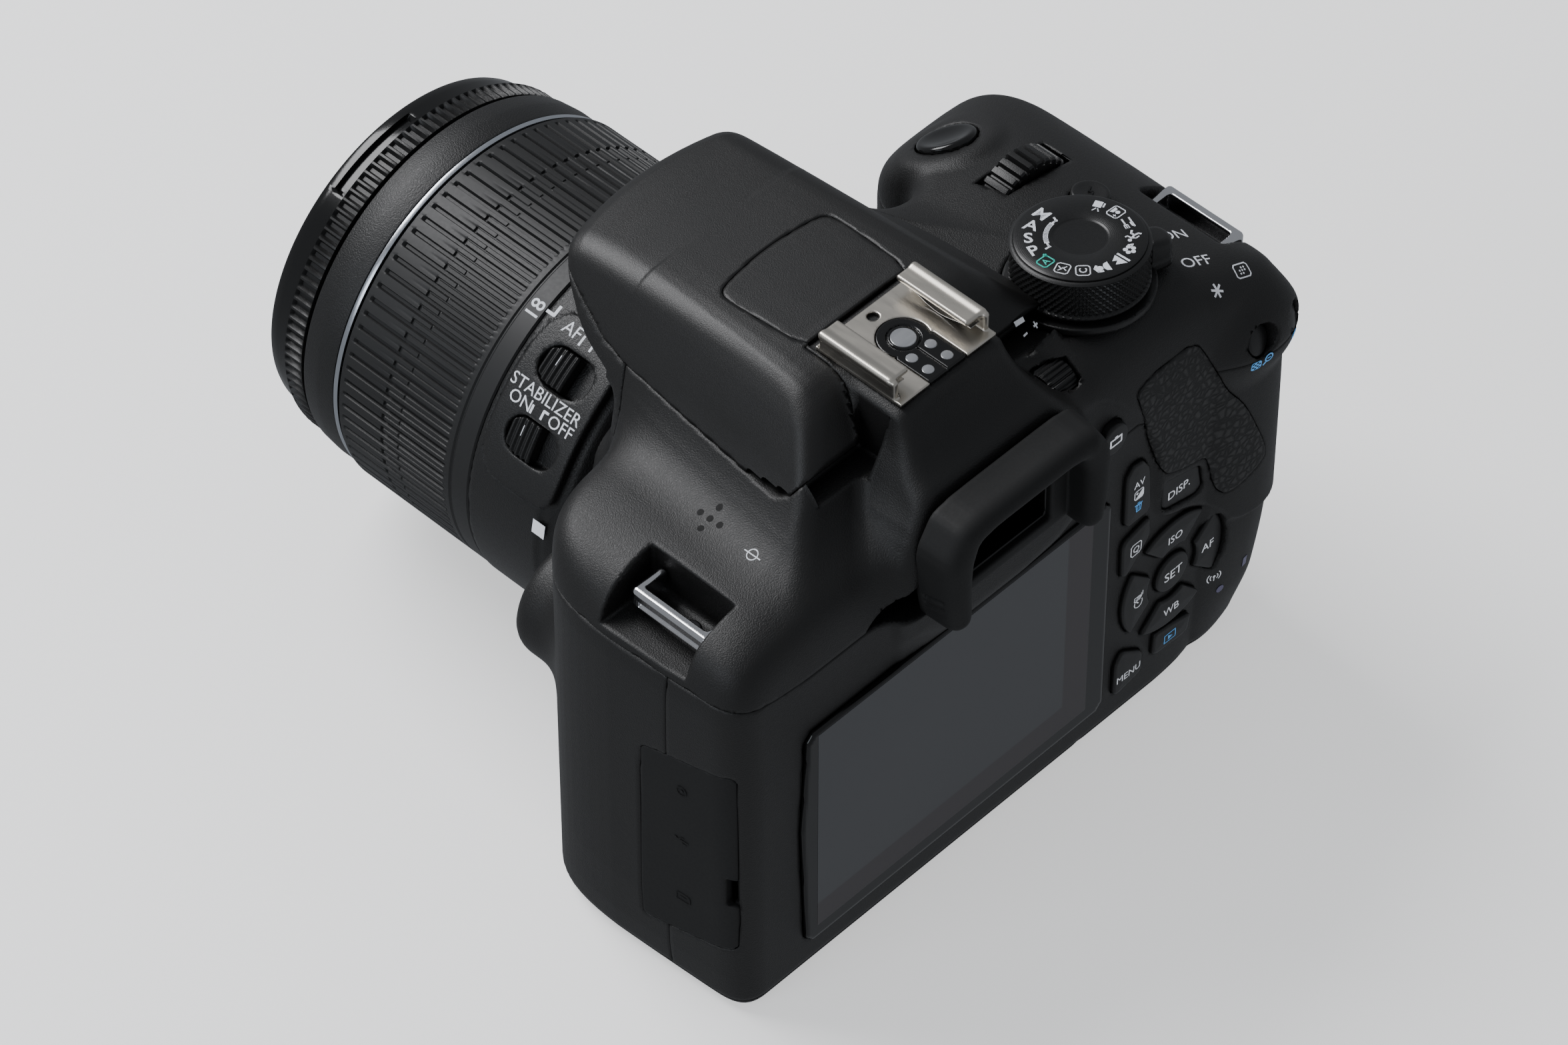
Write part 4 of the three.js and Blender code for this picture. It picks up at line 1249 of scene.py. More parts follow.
def knurled(angle, r, h):
    """Diamond knurling, from two crossed sets of grooves."""
    u = angle * KNURLS / math.tau
    v = h / 1.25
    first = 1 - 2 * np.abs(((u + v) % 1.0) - 0.5)
    second = 1 - 2 * np.abs(((u - v) % 1.0) - 0.5)
    fade = step_between(h, 0.5, 1.0) * step_between(6.9 - h, 0, 0.5)
    return np.where(r > 10.4, r - 0.62 * (1 - np.minimum(first, second)) * fade, r)


skirt = [(10.95, 0.45 + 0.2083 * i) for i in range(32)]
dial_profile = [
    (0, -1.6), (9.4, -1.6), (10.3, 0.0), (10.9, 0.2), *skirt, (10.7, 7.15), (10.4, 7.3), (10.3, 7.3),
    (9.9, 7.22), (0, 7.2),
]
revolved(
    "mode_dial_skirt", dial_profile, KNURLS * 8, CONTROL, "mode_dial_part",
    ["mode_dial"], knurled, leaning_frame("mode_dial"),
)
dial_top = [
    (0, 7.0), (10.2, 7.0), (10.25, 7.55), (9.95, 7.72), (4.5, 7.72), (4.4, 7.66), (4.3, 7.60), (4.0, 7.58),
    (0, 7.50),
]
revolved(
    "mode_dial_top", dial_top, 120, spun("spun_dial_top", (-36.7, 40.4)), "mode_dial_part",
    (), None, leaning_frame("mode_dial"),
)
TAB_REACH = LEVER_REACH - 1.7
LEVER_TAB = Outline(
    softened(
        [
            polar(9.8, LEVER_ON - 15), polar(9.8, LEVER_ON + 15), polar(TAB_REACH - 1.0, LEVER_ON + 10),
            polar(TAB_REACH, LEVER_ON + 4), polar(TAB_REACH, LEVER_ON - 4),
            polar(TAB_REACH - 1.0, LEVER_ON - 10),
        ],
        2, 0.2,
    ),
    0.2, 4,
)


def lever_shape(x, y, z):
    u, v, w = in_control("mode_dial", x, y, z)
    reach = np.hypot(u, v)
    plate = np.maximum(np.minimum(reach - 11.9, LEVER_TAB(u, v)), np.abs(w + 1.3) - 0.55)
    tab = smooth_max(
        np.maximum(LEVER_TAB(u, v), np.maximum(-1.8 - w, 11.35 - reach)), w - 3.4 + 0.16 * (reach - 11),
        1.2,
    )
    return np.maximum(smooth_min(plate, tab, 0.5), 3.4 - reach)


moulding(
    "power_lever_arm", lever_shape, (-55, 25, 82), (-20, 56, 93), 0.3, CONTROL, "power_lever_part",
    ["power_lever"],
)

WHEEL_TEETH = 30


def toothed(angle, r, h):
    tooth = np.abs(((angle * WHEEL_TEETH / math.tau) % 1.0) - 0.5) * 2
    return np.where(r > 8.4, r - 0.85 * step_between(tooth, 0.5, 0.8), r)


revolved(
    "command_wheel",
    [
        (2, -2.6), (8.2, -2.6), (8.85, -2.5), (9.15, -2.2), (9.2, -1.8), (9.2, 0), (9.2, 1.8), (9.15, 2.2),
        (8.85, 2.5), (8.2, 2.6), (2, 2.6),
    ],
    WHEEL_TEETH * 12, CONTROL, "command_dial_part", ["command_dial"], toothed,
    about_y(WHEEL_X, WHEEL_Y, WHEEL_Z),
)


def button_profile(r, low, high, dish=0.0, edge=0.45):
    """A round button's profile: straight side, rounded rim, slightly dished or domed top."""
    rim = [
        (
            r - edge + edge * math.sin(t), high - edge + edge * math.cos(t),
        ) for t in np.linspace(math.pi / 2, 0, 6)
    ]
    top = [(r * s, high - dish * (1 - (s / 0.8) ** 2)) for s in (0.75, 0.6, 0.4, 0.2, 0)]
    return [(0, low), (r, low), *rim, *top]


revolved(
    "flash_button_cap", button_profile(3.15, -3, 1.1, 0.25), 64, CONTROL, "flash_key",
    ["flash_button"], None, leaning_frame("flash_button"),
)
revolved(
    "shutter_button_cap", button_profile(5.0, -3, 1.6, 0.5, 0.7), 80, GLOSSY, "shutter_key",
    ["shutter_button"], None, leaning_frame("shutter_button"),
)
for control, key in (
    ("autoexposure_lock_button", "autoexposure_lock_key"), ("focus_point_button", "focus_point_key"),
):
    revolved(
        control + "_cap", button_profile(2.65, -3, 2.0, -0.25, 0.5), 56, CONTROL, key,
        [control], None, leaning_frame(control),
    )
BUTTON_BODY = {
    "exposure_button": "exposure_key", "quick_button": "quick_key", "display_button": "display_key",
    "playback_button": "playback_key", "menu_button": "menu_key", "set_button": "set_key",
    "live_view_button": "live_view_key", "key_right": "key_right_part", "key_left": "key_left_part",
    "key_up": "key_up_part", "key_down": "key_down_part",
}


def button_top(button):
    """How far out a rear button's face stands."""
    return 57.6 if button == "live_view_button" else 57.1


for button, body in BUTTON_BODY.items():
    edge = BUTTON_EDGE[button]
    top = button_top(button)

    def cap(x, y, z, edge=edge, top=top):
        inside = edge(x, z)
        face = y - top + 0.10 * step_between(inside, -2.6, -0.4)
        return smooth_max(np.maximum(inside, 53.8 - y), face, 0.5)

    outline = np.array(REAR_BUTTONS[button])
    low, high = outline.min(0) - 1, outline.max(0) + 1
    moulding(
        button + "_cap", cap, (low[0], 53.2, low[1]), (high[0], 58.2, high[1]), 0.24, CONTROL, body,
        [button],
    )


def fluted(angle, r, h):
    return np.where(
        r > 3.0, r - 0.32 * step_between(np.abs(((angle * 22 / math.tau) % 1.0) - 0.5) * 2, 0.45, 0.75), r,
    )


revolved(
    "diopter_wheel", [(0.6, -2.6), (2.9, -2.6), (3.35, -2.2), (3.4, 2.1), (3.0, 2.6), (0.6, 2.6)], 22 * 10,
    CONTROL, "diopter_dial_part", ["diopter_dial"], fluted, about_x(-21.0, 49.4, 80.6),
)
revolved(
    "release_button_cap", bevelled([(0, 5.6), (8.0, 5.6), (8.0, 1.9), (7.3, 1.5), (0, 1.2)], 0.5), 96,
    CONTROL, "lens_release_key", ["lens_release_button"], None,
    lambda p: np.stack([RELEASE[0] + p[:, 0], p[:, 2], RELEASE[1] + p[:, 1]], 1),
)

# ---- eyecup, display, shoe, lugs
EYE_OUTSIDE = Outline(
    softened(
        [
            (-16.9, 64.9), (-18.2, 72), (-18.4, 81), (-14.6, 87.2), (14.6, 87.2), (18.4, 81), (18.2, 72),
            (16.9, 64.9),
        ],
        3, 0.14,
    ),
    0.25,
)
EYE_INSIDE = Outline(
    softened([(-12.4, 58), (-12.8, 78), (-11.2, 82.8), (11.2, 82.8), (12.8, 78), (12.4, 58)], 3, 0.14),
    0.25,
)


def eyecup(x, y, z):
    lean = 0.05 * (y - 58)
    shell = smooth_max(EYE_OUTSIDE(x * (1 + 0.004 * (y - 58)), z + lean), y - 65.6, 3.0)
    shell = smooth_max(shell, 57.9 - y, 0.8)
    shell = smooth_max(shell, -np.maximum(EYE_INSIDE(x, z), 60.6 - y), 2.4)
    opening = box_distance(x, y, z, (-9.0, 40, 68.2), (9.0, 70, 79.2), 0.6)
    shell = smooth_max(shell, -opening, 0.4)
    for number in range(4):
        centre = 67.2 + 1.55 * number
        rib = np.hypot(np.abs(np.abs(x) - 17.9), z - centre - 0.25 * (y - 61)) - 0.45
        shell = smooth_max(shell, -np.maximum(rib, np.abs(y - 61.4) - 1.8), 0.5)
    return shell


moulding(
    "eyecup_frame", eyecup, (-21, 56, 62), (21, 67, 90), 0.36, EYE_RUBBER, "camera_body",
    ["eyecup"],
)


def eye_tunnel(x, y, z):
    tube = box_distance(x, y, z, (-9.3, 48, 68.1), (9.3, 59.6, 79.5), 0.6)
    hole = box_distance(x, y, z, (-8.4, 40, 68.9), (8.4, 53.0, 78.7), 1.4)
    mouth = box_distance(x, y, z, (-8.9, 53.6, 68.5), (8.9, 80, 79.1), 0.6)
    return np.maximum(np.maximum(tube, -hole), -mouth)


moulding(
    "eyepiece_tunnel", eye_tunnel, (-10, 47, 67), (10, 60.5, 80.5), 0.3, GLOSSY, "camera_body",
)


def display_cover(x, y, z):
    return smooth_max(np.maximum(GLASS_EDGE(x, z), 54 - y), y - 57.0, 0.35)


moulding(
    "display_window", display_cover, (-29, 53.4, 5.5), (43, 58, 57), 0.5, COVER_GLASS, "camera_body",
    ["display_glass"],
)


def flat_plate(name, corners, matrix_of, thickness, material, body):
    """A thin plate from an outline in a plane; matrix_of turns (u, v, w) points into millimetres."""
    points = np.asarray(corners, float)
    n = len(points)
    flat = np.concatenate([np.c_[points, np.zeros(n)], np.c_[points, np.full(n, thickness)]])
    faces = [list(range(n))[::-1], list(range(n, 2 * n))]
    faces += [[i, (i + 1) % n, n + (i + 1) % n, n + i] for i in range(n)]
    made = object_of(name, place(matrix_of(flat)), faces, material, body, False)
    m = bmesh.new()
    m.from_mesh(made.data)
    bmesh.ops.recalc_face_normals(m, faces=m.faces)
    m.to_mesh(made.data)
    m.free()
    return made


rear_plane = lambda p: np.stack([p[:, 0], 57.0 + p[:, 2], p[:, 1]], 1)
flat_plate(
    "display_face", [(-23.28, 9.83), (37.77, 9.83), (37.77, 54.29), (-23.28, 54.29)], rear_plane, 0.03,
    DISPLAY, "camera_body",
)

SHOE_Z, SHOE_TOP = 98.0, 101.3


def shoe_bracket(x, y, z):
    base = box_distance(x, y, z, (-10.3, 29.9, 97.4), (10.3, 47.3, SHOE_Z), 0.1)
    notch = np.maximum(box_distance(x, y, z, (-4.1, 40, 90), (4.1, 60, 110), 0.5), -60)
    disc = np.hypot(x, y - 38.1) - 4.3
    base = np.maximum(base, -np.minimum(notch, disc))
    base = np.maximum(base, -(np.hypot(x + 0.1, y - 31.8) - 1.0))
    side = np.abs(x)
    wall = box_distance(side, y, z, (9.35, 30.6, 97.4), (10.35, 46.0, SHOE_TOP), 0.4)
    lip = box_distance(side, y, z, (6.3, 30.6, SHOE_TOP - 0.95), (10.35, 45.0 + 0.0, SHOE_TOP), 0.32)
    slant = (y - 45.2) - 0.55 * (side - 6.3)
    lip = smooth_max(lip, slant, 0.3)
    inner = np.maximum(side - 9.35, SHOE_Z - z)
    rails = smooth_min(wall, lip, 0.9)
    rails = np.maximum(rails, -np.maximum(np.maximum(inner, z - SHOE_TOP + 0.95), side - 9.35))
    return smooth_min(base, rails, 0.35)


moulding(
    "shoe_rails", shoe_bracket, (-11.4, 29, 96.8), (11.4, 48, 102), 0.2, NICKEL, "camera_body",
    ["shoe_bracket"],
)


def shoe_block(x, y, z):
    disc = np.hypot(x, y - 38.1) - 4.15
    block = box_distance(x, y, z, (-3.95, 40.2, 90), (3.95, 47.25, 110), 0.4)
    pad = smooth_max(np.maximum(np.minimum(disc, block), 97.4 - z), z - SHOE_Z - 0.05, 0.2)
    rings = np.abs(np.hypot(x, y - 38.1) - 2.55) - 0.14
    groove = np.minimum(rings, np.maximum(np.abs(x - 0.1) - 0.12, 41 - y))
    return np.maximum(pad, -np.maximum(groove, 97.8 - z))


moulding(
    "shoe_pad", shoe_block, (-5, 33, 96.8), (5, 48, 99), 0.2, GLOSSY, "camera_body",
    ["shoe_insert"],
)
CONTACT_FOOT = 97.75
CONTACTS = [(0, 38.1, 2.0), (-1.9, 41.9, 0.95), (2.2, 41.9, 0.95), (-1.9, 45.2, 0.95), (2.2, 45.2, 0.95)]
for number, (cx, cy, radius) in enumerate(CONTACTS):
    revolved(
        f"shoe_contact_{number}", [(0, 0), (radius, 0), (radius, 0.30), (radius - 0.1, 0.38), (0, 0.40)],
        40, STEEL, "camera_body", (), None,
        lambda p, cx=cx, cy=cy: p + np.array([cx, cy, CONTACT_FOOT]),
    )


def leaf_spring(side):
    """A bent leaf under the rail's lip."""
    ys = np.linspace(31.5, 45.0, 28)
    bow = 0.5 + 1.35 * np.sin((ys - 31.5) / 13.5 * math.pi) ** 2
    section = [(7.2, 0.0), (9.1, 0.0), (9.1, 0.14), (7.2, 0.14)]
    points = [(side * u, y, SHOE_TOP - 1.15 - b - w) for y, b in zip(ys, bow) for u, w in section]
    rows = len(ys)
    faces = [
        [i * 4 + j, i * 4 + (j + 1) % 4, (i + 1) * 4 + (j + 1) % 4, (i + 1) * 4 + j]
        for i in range(rows - 1) for j in range(4)
    ]
    faces += [[0, 1, 2, 3], [(rows - 1) * 4 + j for j in (3, 2, 1, 0)]]
    name = "shoe_spring_right" if side < 0 else "shoe_spring_left"
    made = object_of(name, place(points), faces, STEEL, "camera_body")
    face_outwards(made)
    sharpen(made)


leaf_spring(-1)
leaf_spring(1)


def lug_shape(side):
    def shape(x, y, z):
        outer_x, inner_x = (49.4, 42.9) if side > 0 else (-68.4, -61.6)
        y0, y1 = (29.4, 45.2) if side > 0 else (31.0, 46.8)
        zc = 73.5 if side > 0 else 74.9
        low_x, high_x = sorted((outer_x, inner_x))
        loop = box_distance(x, y, z, (low_x, y0, zc - 1.9), (high_x, y1, zc + 1.9), 0.85)
        bar_in = (low_x - 2, high_x - 1.75) if side > 0 else (low_x + 1.75, high_x + 2)
        room = box_distance(x, y, z, (bar_in[0], y0 + 1.5, zc - 9), (bar_in[1], y1 - 1.5, zc + 9), 0.5)
        slot_line = np.hypot(np.abs(x - outer_x), z - zc + 0.55) - 0.55
        slot_line = np.maximum(slot_line, np.abs(y - (y0 + y1) / 2) - 6.3)
        return np.maximum(smooth_max(loop, -room, 0.5), -slot_line)

    return shape


moulding(
    "lug_bar_left", lug_shape(1), (42, 28.6, 71), (50.4, 46, 76), 0.2, CHROME, "camera_body",
    ["strap_lug_left"],
)
moulding(
    "lug_bar_right", lug_shape(-1), (-69.4, 30.2, 72.4), (-60.8, 47.6, 77.4), 0.2, CHROME, "camera_body",
    ["strap_lug_right"],
)


def screw(name, frame_of, radius=1.5):
    """A cross-head screw, its head up to local height 0."""
    def shape(x, y, z):
        r = np.hypot(x, y)
        head = smooth_max(r - radius, z, 0.3)
        cross = np.minimum(
            np.maximum(np.abs(x) - 0.16, np.abs(y) - 0.75), np.maximum(np.abs(y) - 0.16, np.abs(x) - 0.75),
        )
        return np.maximum(np.maximum(head, -0.8 - z), -np.maximum(cross, -0.45 - z))

    vertices, quads = contoured(
        shape, (-radius - 0.4, -radius - 0.4, -1.2), (radius + 0.4, radius + 0.4, 0.4), 0.13,
    )
    return object_of(
        name, place(frame_of(vertices)), quads.tolist(), DARK_STEEL, "camera_body",
    )


screw("side_screw", lambda p: np.stack([54.05 + p[:, 2], 43.8 + p[:, 0], 57.3 + p[:, 1]], 1))
screw("well_screw", lambda p: p + np.array([45.6, 38.2, 70.35]), 1.7)

# ---------------------------------------------------------------- printed marks
INK_HEIGHT = 0.03
INK_FOOT = -0.02  # how far a mark reaches into the surface under it
INK_WELD = 1e-7


class Print:
    """Marks in a plane (u, v), gathered as thin closed prisms and laid on a surface in one piece."""

    def __init__(self):
        self.vertices = []
        self.faces = []

    def prism(self, outline):
        n = len(outline)
        start = len(self.vertices)
        self.vertices += [(u, v, INK_FOOT) for u, v in outline] + [(u, v, INK_HEIGHT) for u, v in outline]
        bottom = list(range(start, start + n))
        top = [b + n for b in bottom]
        self.faces += [bottom[::-1], top]
        self.faces += [[bottom[i], bottom[(i + 1) % n], top[(i + 1) % n], top[i]] for i in range(n)]

    def disc(self, u, v, r, sides=20):
        self.prism(circle(u, v, r, sides))

    def line(self, points, width, closed=False):
        """A stroke of one width, in short pieces with round joints."""
        points = [tuple(p) for p in points]
        if closed:
            points.append(points[0])
        for (u0, v0), (u1, v1) in zip(points, points[1:]):
            length = math.hypot(u1 - u0, v1 - v0)
            count = max(1, math.ceil(length / 0.9))
            across = (-(v1 - v0) / length * width / 2, (u1 - u0) / length * width / 2)
            for i in range(count):
                a, b = i / count, (i + 1) / count
                start = (u0 + (u1 - u0) * a, v0 + (v1 - v0) * a)
                end = (u0 + (u1 - u0) * b, v0 + (v1 - v0) * b)
                self.prism(
                    [
                        (start[0] - across[0], start[1] - across[1]),
                        (end[0] - across[0], end[1] - across[1]), (end[0] + across[0], end[1] + across[1]),
                        (start[0] + across[0], start[1] + across[1]),
                    ]
                )
        for u, v in points[1:-1] if not closed else points[1:]:
            self.disc(u, v, width / 2, 10)

    def box(self, u, v, half_width, half_height, width):
        cut = 0.3 * half_height
        w, h = half_width, half_height
        self.line(
            [
                (u - w + cut, v - h), (u + w - cut, v - h), (u + w, v - h + cut), (u + w, v + h - cut),
                (u + w - cut, v + h), (u - w + cut, v + h), (u - w, v + h - cut), (u - w, v - h + cut),
            ],
            width, True,
        )

    def text(self, words, height, u=0.0, v=0.0, slant=0.0, weight=0.0):
        """Plain lettering, its capitals of this height, centred on (u, v)."""
        curve = bpy.data.curves.new("lettering", "FONT")
        curve.body = words
        curve.align_x = "CENTER"
        curve.size = height / 0.7
        curve.shear = slant
        curve.offset = weight
        curve.extrude = 0.5
        curve.resolution_u = 3
        holder = bpy.data.objects.new("lettering", curve)
        bpy.context.scene.collection.objects.link(holder)
        mesh = holder.to_mesh()
        start = len(self.vertices)
        for vertex in mesh.vertices:
            x, y, z = vertex.co
            self.vertices.append((u + x, v + y - height / 2, INK_HEIGHT if z > 0 else INK_FOOT))
        self.faces += [[start + i for i in face.vertices] for face in mesh.polygons]
        holder.to_mesh_clear()
        bpy.data.objects.remove(holder)
        bpy.data.curves.remove(curve)

    def placed(self, other, u, v, turn=0.0, size=1.0):
        """Another print's marks, turned and moved."""
        c, s = math.cos(math.radians(turn)) * size, math.sin(math.radians(turn)) * size
        start = len(self.vertices)
        self.vertices += [(u + a * c - b * s, v + a * s + b * c, w) for a, b, w in other.vertices]
        self.faces += [[start + i for i in face] for face in other.faces]

    def lay(self, name, surface, ink, body, slot=None):
        made = object_of(name, place(surface(np.array(self.vertices))), self.faces, ink, body, False)
        face_outwards(made, INK_WELD)
        return made


def mark(draw):
    """A print drawn by one function."""
    made = Print()
    draw(made)
    return made


def on_body(origin, across, upward, distance=None, lift=0.0):
    """Marks pressed onto the camera's outside, along the normal of the plane of across and upward."""
    o, u, v = (np.array(a, float) for a in (origin, across, upward))
    u /= np.linalg.norm(u)
    v -= u * (u @ v)
    v /= np.linalg.norm(v)
    n = np.cross(u, v)
    field = distance or outer

    def surface(p):
        base = o + p[:, :1] * u + p[:, 1:2] * v
        along = np.zeros(len(p))
        for _ in range(24):
            q = base + along[:, None] * n
            along -= 0.8 * field(q[:, 0], q[:, 1], q[:, 2])
        return base + (along + p[:, 2] + lift)[:, None] * n

    return surface


def on_barrel(degrees, y, radius, lengthwise=True):
    """Marks on the lens: reading towards the camera, or round the barrel."""

    def surface(p):
        u, v = (p[:, 0], p[:, 1]) if lengthwise else (-p[:, 1], p[:, 0])
        angle = math.radians(degrees) + v / radius
        r = radius + p[:, 2]
        return np.stack([r * np.cos(angle), y + u, AXIS_Z + r * np.sin(angle)], 1)

    return surface


def on_button(button, x, z):
    top = button_top(button)
    edge = BUTTON_EDGE[button]

    def surface(p):
        px, pz = x - p[:, 0], z + p[:, 1]
        face = top - 0.10 * step_between(edge(px, pz), -2.6, -0.4)
        return np.stack([px, face + p[:, 2], pz], 1)

    return surface


# ---- mode dial
DIAL_TOP = 7.72
dial_frame = leaning_frame("mode_dial")


def on_dial(p):
    return dial_frame(p + np.array([0, 0, DIAL_TOP]))


def portrait(p):
    p.disc(0, 0.5, 0.5)
    p.prism([(-0.95, -1.0), (0.95, -1.0), (0.75, -0.35), (0.3, -0.1), (-0.3, -0.1), (-0.75, -0.35)])
    p.line([(-0.75, 0.2), (-0.6, 0.95), (0.2, 1.2), (0.75, 0.7)], 0.34)


def landscape(p):
    p.prism([(-1.2, -0.3), (1.2, -0.3), (0.55, 0.95), (0.15, 0.35), (-0.3, 1.15)])
    p.prism([(-1.2, -0.95), (1.2, -0.95), (1.2, -0.6), (-1.2, -0.6)])


def close_up(p):
    for turn in range(5):
        a, b = polar(0.62, turn * 72 + 90)
        p.disc(a, b + 0.25, 0.36, 12)
    p.line([(0, -0.3), (0, -1.15)], 0.2)
    p.line([(0, -1.0), (0.6, -0.6)], 0.26)


def sports(p):
    p.disc(0.55, 1.0, 0.3, 12)
    p.line([(0.35, 0.65), (-0.2, -0.15), (0.3, -0.5), (0.15, -1.2)], 0.3)
    p.line([(-0.2, -0.15), (-0.75, -0.5), (-1.15, -0.35)], 0.28)
    p.line([(0.3, 0.5), (-0.35, 0.55), (-0.8, 0.1)], 0.22)
    p.line([(0.35, 0.45), (0.85, 0.05), (1.15, 0.3)], 0.22)


def food(p):
    p.line([(-0.55, 1.05), (-0.55, -1.1)], 0.24)
    p.prism([(-0.55, 1.1), (-0.2, 0.7), (-0.2, -0.05), (-0.55, -0.05)])
    p.line([(0.55, 0.1), (0.55, -1.1)], 0.24)
    for tooth in (-0.28, 0, 0.28):
        p.line([(0.55 + tooth, 1.1), (0.55 + tooth, 0.35)], 0.13)
    p.line([(0.27, 0.3), (0.83, 0.3)], 0.2)


def night(p):
    p.box(0, 0, 1.15, 1.0, 0.16)
    p.disc(-0.15, 0.2, 0.36, 14)
    p.prism([(-0.8, -0.75), (0.5, -0.75), (0.3, -0.25), (-0.6, -0.25)])
    p.prism(
        [
            (0.7, 0.65), (0.8, 0.4), (1.0, 0.35), (0.8, 0.25), (0.7, 0.0), (0.6, 0.25), (0.4, 0.35),
            (0.6, 0.4),
        ]
    )


def movie(p):
    p.prism([(-0.9, -0.75), (0.45, -0.75), (0.45, 0.5), (-0.9, 0.5)])
    p.prism([(-0.7, 0.65), (0.2, 0.65), (0.2, 0.9), (-0.7, 0.9)])
    p.line([(0.7, -0.1), (1.35, -0.5)], 0.16)
    p.line([(0.7, 0.15), (1.35, 0.45)], 0.16)


def no_flash(p):
    p.box(0, 0, 1.05, 1.0, 0.17)
    p.line([(0.35, 0.7), (-0.2, 0.1), (0.2, 0.0), (-0.3, -0.65)], 0.17)
    p.line([(-0.6, 0.5), (0.6, -0.5)], 0.15)


def automatic(p):
    p.box(0, -0.1, 1.05, 0.9, 0.2)
    p.text("A", 1.05, 0, -0.1, 0, 0.01)
    p.line([(0.95, 1.2), (0.95, 0.6)], 0.24)
    p.line([(0.65, 0.9), (1.25, 0.9)], 0.24)


def creative(p):
    p.box(0, 0, 1.05, 1.0, 0.17)
    p.text("C", 1.1, 0, 0, 0, 0.02)


white_dial = Print()
white_marks = {
    22.5: no_flash, 45.0: creative, 67.5: portrait, 90.0: landscape, 112.5: close_up, 135.0: sports,
    157.5: food, 180.0: night, 202.5: movie,
}
for letter, degrees in (("M", -90.0), ("A", -67.5), ("S", -45.0), ("P", -22.5)):
    white_dial.placed(
        mark(lambda p, letter=letter: p.text(letter, 2.3, 0, 0, 0, 0.05)), *polar(7.9, degrees),
        degrees + 180,
    )
for degrees, draw in white_marks.items():
    white_dial.placed(mark(draw), *polar(8.0, degrees), degrees + 180, 1.08)
white_dial.line([polar(5.3, a) for a in range(-84, -26, 6)], 0.75)
for degrees in (-96, -18):
    white_dial.line([polar(5.05, degrees * 0.92 - 4), polar(6.1, degrees)], 0.32)
white_dial.line([polar(5.3, a) for a in (-96, -90, -84)], 0.32)
white_dial.line([polar(5.3, a) for a in (-30, -24, -18)], 0.32)
white_dial.lay("dial_marks", on_dial, WHITE_INK, "mode_dial_part")
auto_mark = Print()
auto_mark.placed(mark(automatic), *polar(7.95, 0), 180, 1.1)
auto_mark.lay("dial_auto_mark", on_dial, TEAL_INK, "mode_dial_part")

# ---- top cover and its controls
READING = (-0.953, 0.30, 0)
DEPTHWISE = (-0.30, -0.953, 0)
for name, words, centre in (("mark_on", "ON", (-56.4, 42.2, 84)), ("mark_off", "OFF", (-54.3, 48.7, 84))):
    mark(lambda p, words=words: p.text(words, 2.1, 0, 0, 0, 0.0)).lay(
        name, on_body(centre, READING, DEPTHWISE), WHITE_INK, "camera_body",
    )


def asterisk(p):
    for turn in (0, 60, 120):
        a, b = polar(1.15, turn + 30)
        p.line([(-a, -b), (a, b)], 0.36)


def focus_area(p):
    p.box(0, 0, 1.5, 1.1, 0.2)
    for a in (-0.5, 0.05, 0.6):
        for b in (-0.45, 0.05, 0.5):
            if (a, b) not in ((-0.5, 0.5), (0.6, -0.45)):
                p.disc(a, b, 0.16, 8)


mark(asterisk).lay(
    "mark_lock", on_body((-53.0, 56.6, 82), (-1, 0.1, 0), (0, -0.6, 0.8)), WHITE_INK, "camera_body",
)
mark(focus_area).lay(
    "mark_focus_area", on_body((-59.9, 54.2, 80), (-1, 0.25, -0.2), (0, -0.7, 0.7)), WHITE_INK,
    "camera_body",
)
mark(lambda p: p.line([(0, -0.9), (0, 0.9)], 0.5)).lay(
    "dial_index", on_body((-20.6, 42.8, 86), (0.1, 1, 0), (-1, 0.1, 0)), WHITE_INK, "camera_body",
)


def bolt(p):
    p.line([(1.1, 1.0), (-0.1, 0.35), (0.35, -0.15), (-0.9, -0.85)], 0.3)
    p.prism([(-1.25, -1.1), (-0.95, -0.3), (-0.45, -0.95)])


flash_frame = leaning_frame("flash_button")
mark(bolt).lay(
    "flash_button_mark", lambda p: flash_frame(np.stack([-p[:, 0], -p[:, 1], p[:, 2] + 1.02], 1)), GREY_INK,
    "flash_key",
)


def focal_plane(p):
    p.line(circle(0, 0, 0.85, 24), 0.16, True)
    p.line([(-1.6, 0), (1.6, 0)], 0.16)


mark(focal_plane).lay(
    "focal_plane_mark", on_body((34.9, 40.6, 84), (0, 1, 0), (-1, 0, 0)), WHITE_INK, "camera_body",
)
# the speaker holes are near-black discs of painted shade laid on the surface, not cut holes
speaker = Print()
for u, v in ((0, 0), (2, 0), (-2, 0), (0, 2), (0, -2)):
    speaker.disc(u, v, 0.55, 24)
speaker.lay(
    "speaker_holes", on_body((34, 31, 84), (1, 0, 0), (0, 1, 0), None, -0.02), HOLE_SHADE_INK, "camera_body",
)
mark(
    lambda p: (
        p.line([(-1.5, 0), (-0.7, 0)], 0.2), p.line([(0.7, 0), (1.5, 0)], 0.2),
        p.line([(1.1, -0.4), (1.1, 0.4)], 0.2),
    )
).lay("diopter_marks", on_body((-21.6, 44.2, 88), (-1, 0, 0), (0, -1, 0)), WHITE_INK, "camera_body")


# ---- rear cover
def checker(p):
    for i in range(4):
        for j in range(4):
            if (i + j) % 2 == 0:
                u, v = -0.8 + 0.4 * i, -0.8 + 0.4 * j
                p.prism([(u, v), (u + 0.4, v), (u + 0.4, v + 0.4), (u, v + 0.4)])
    p.box(0, 0, 0.9, 0.9, 0.12)


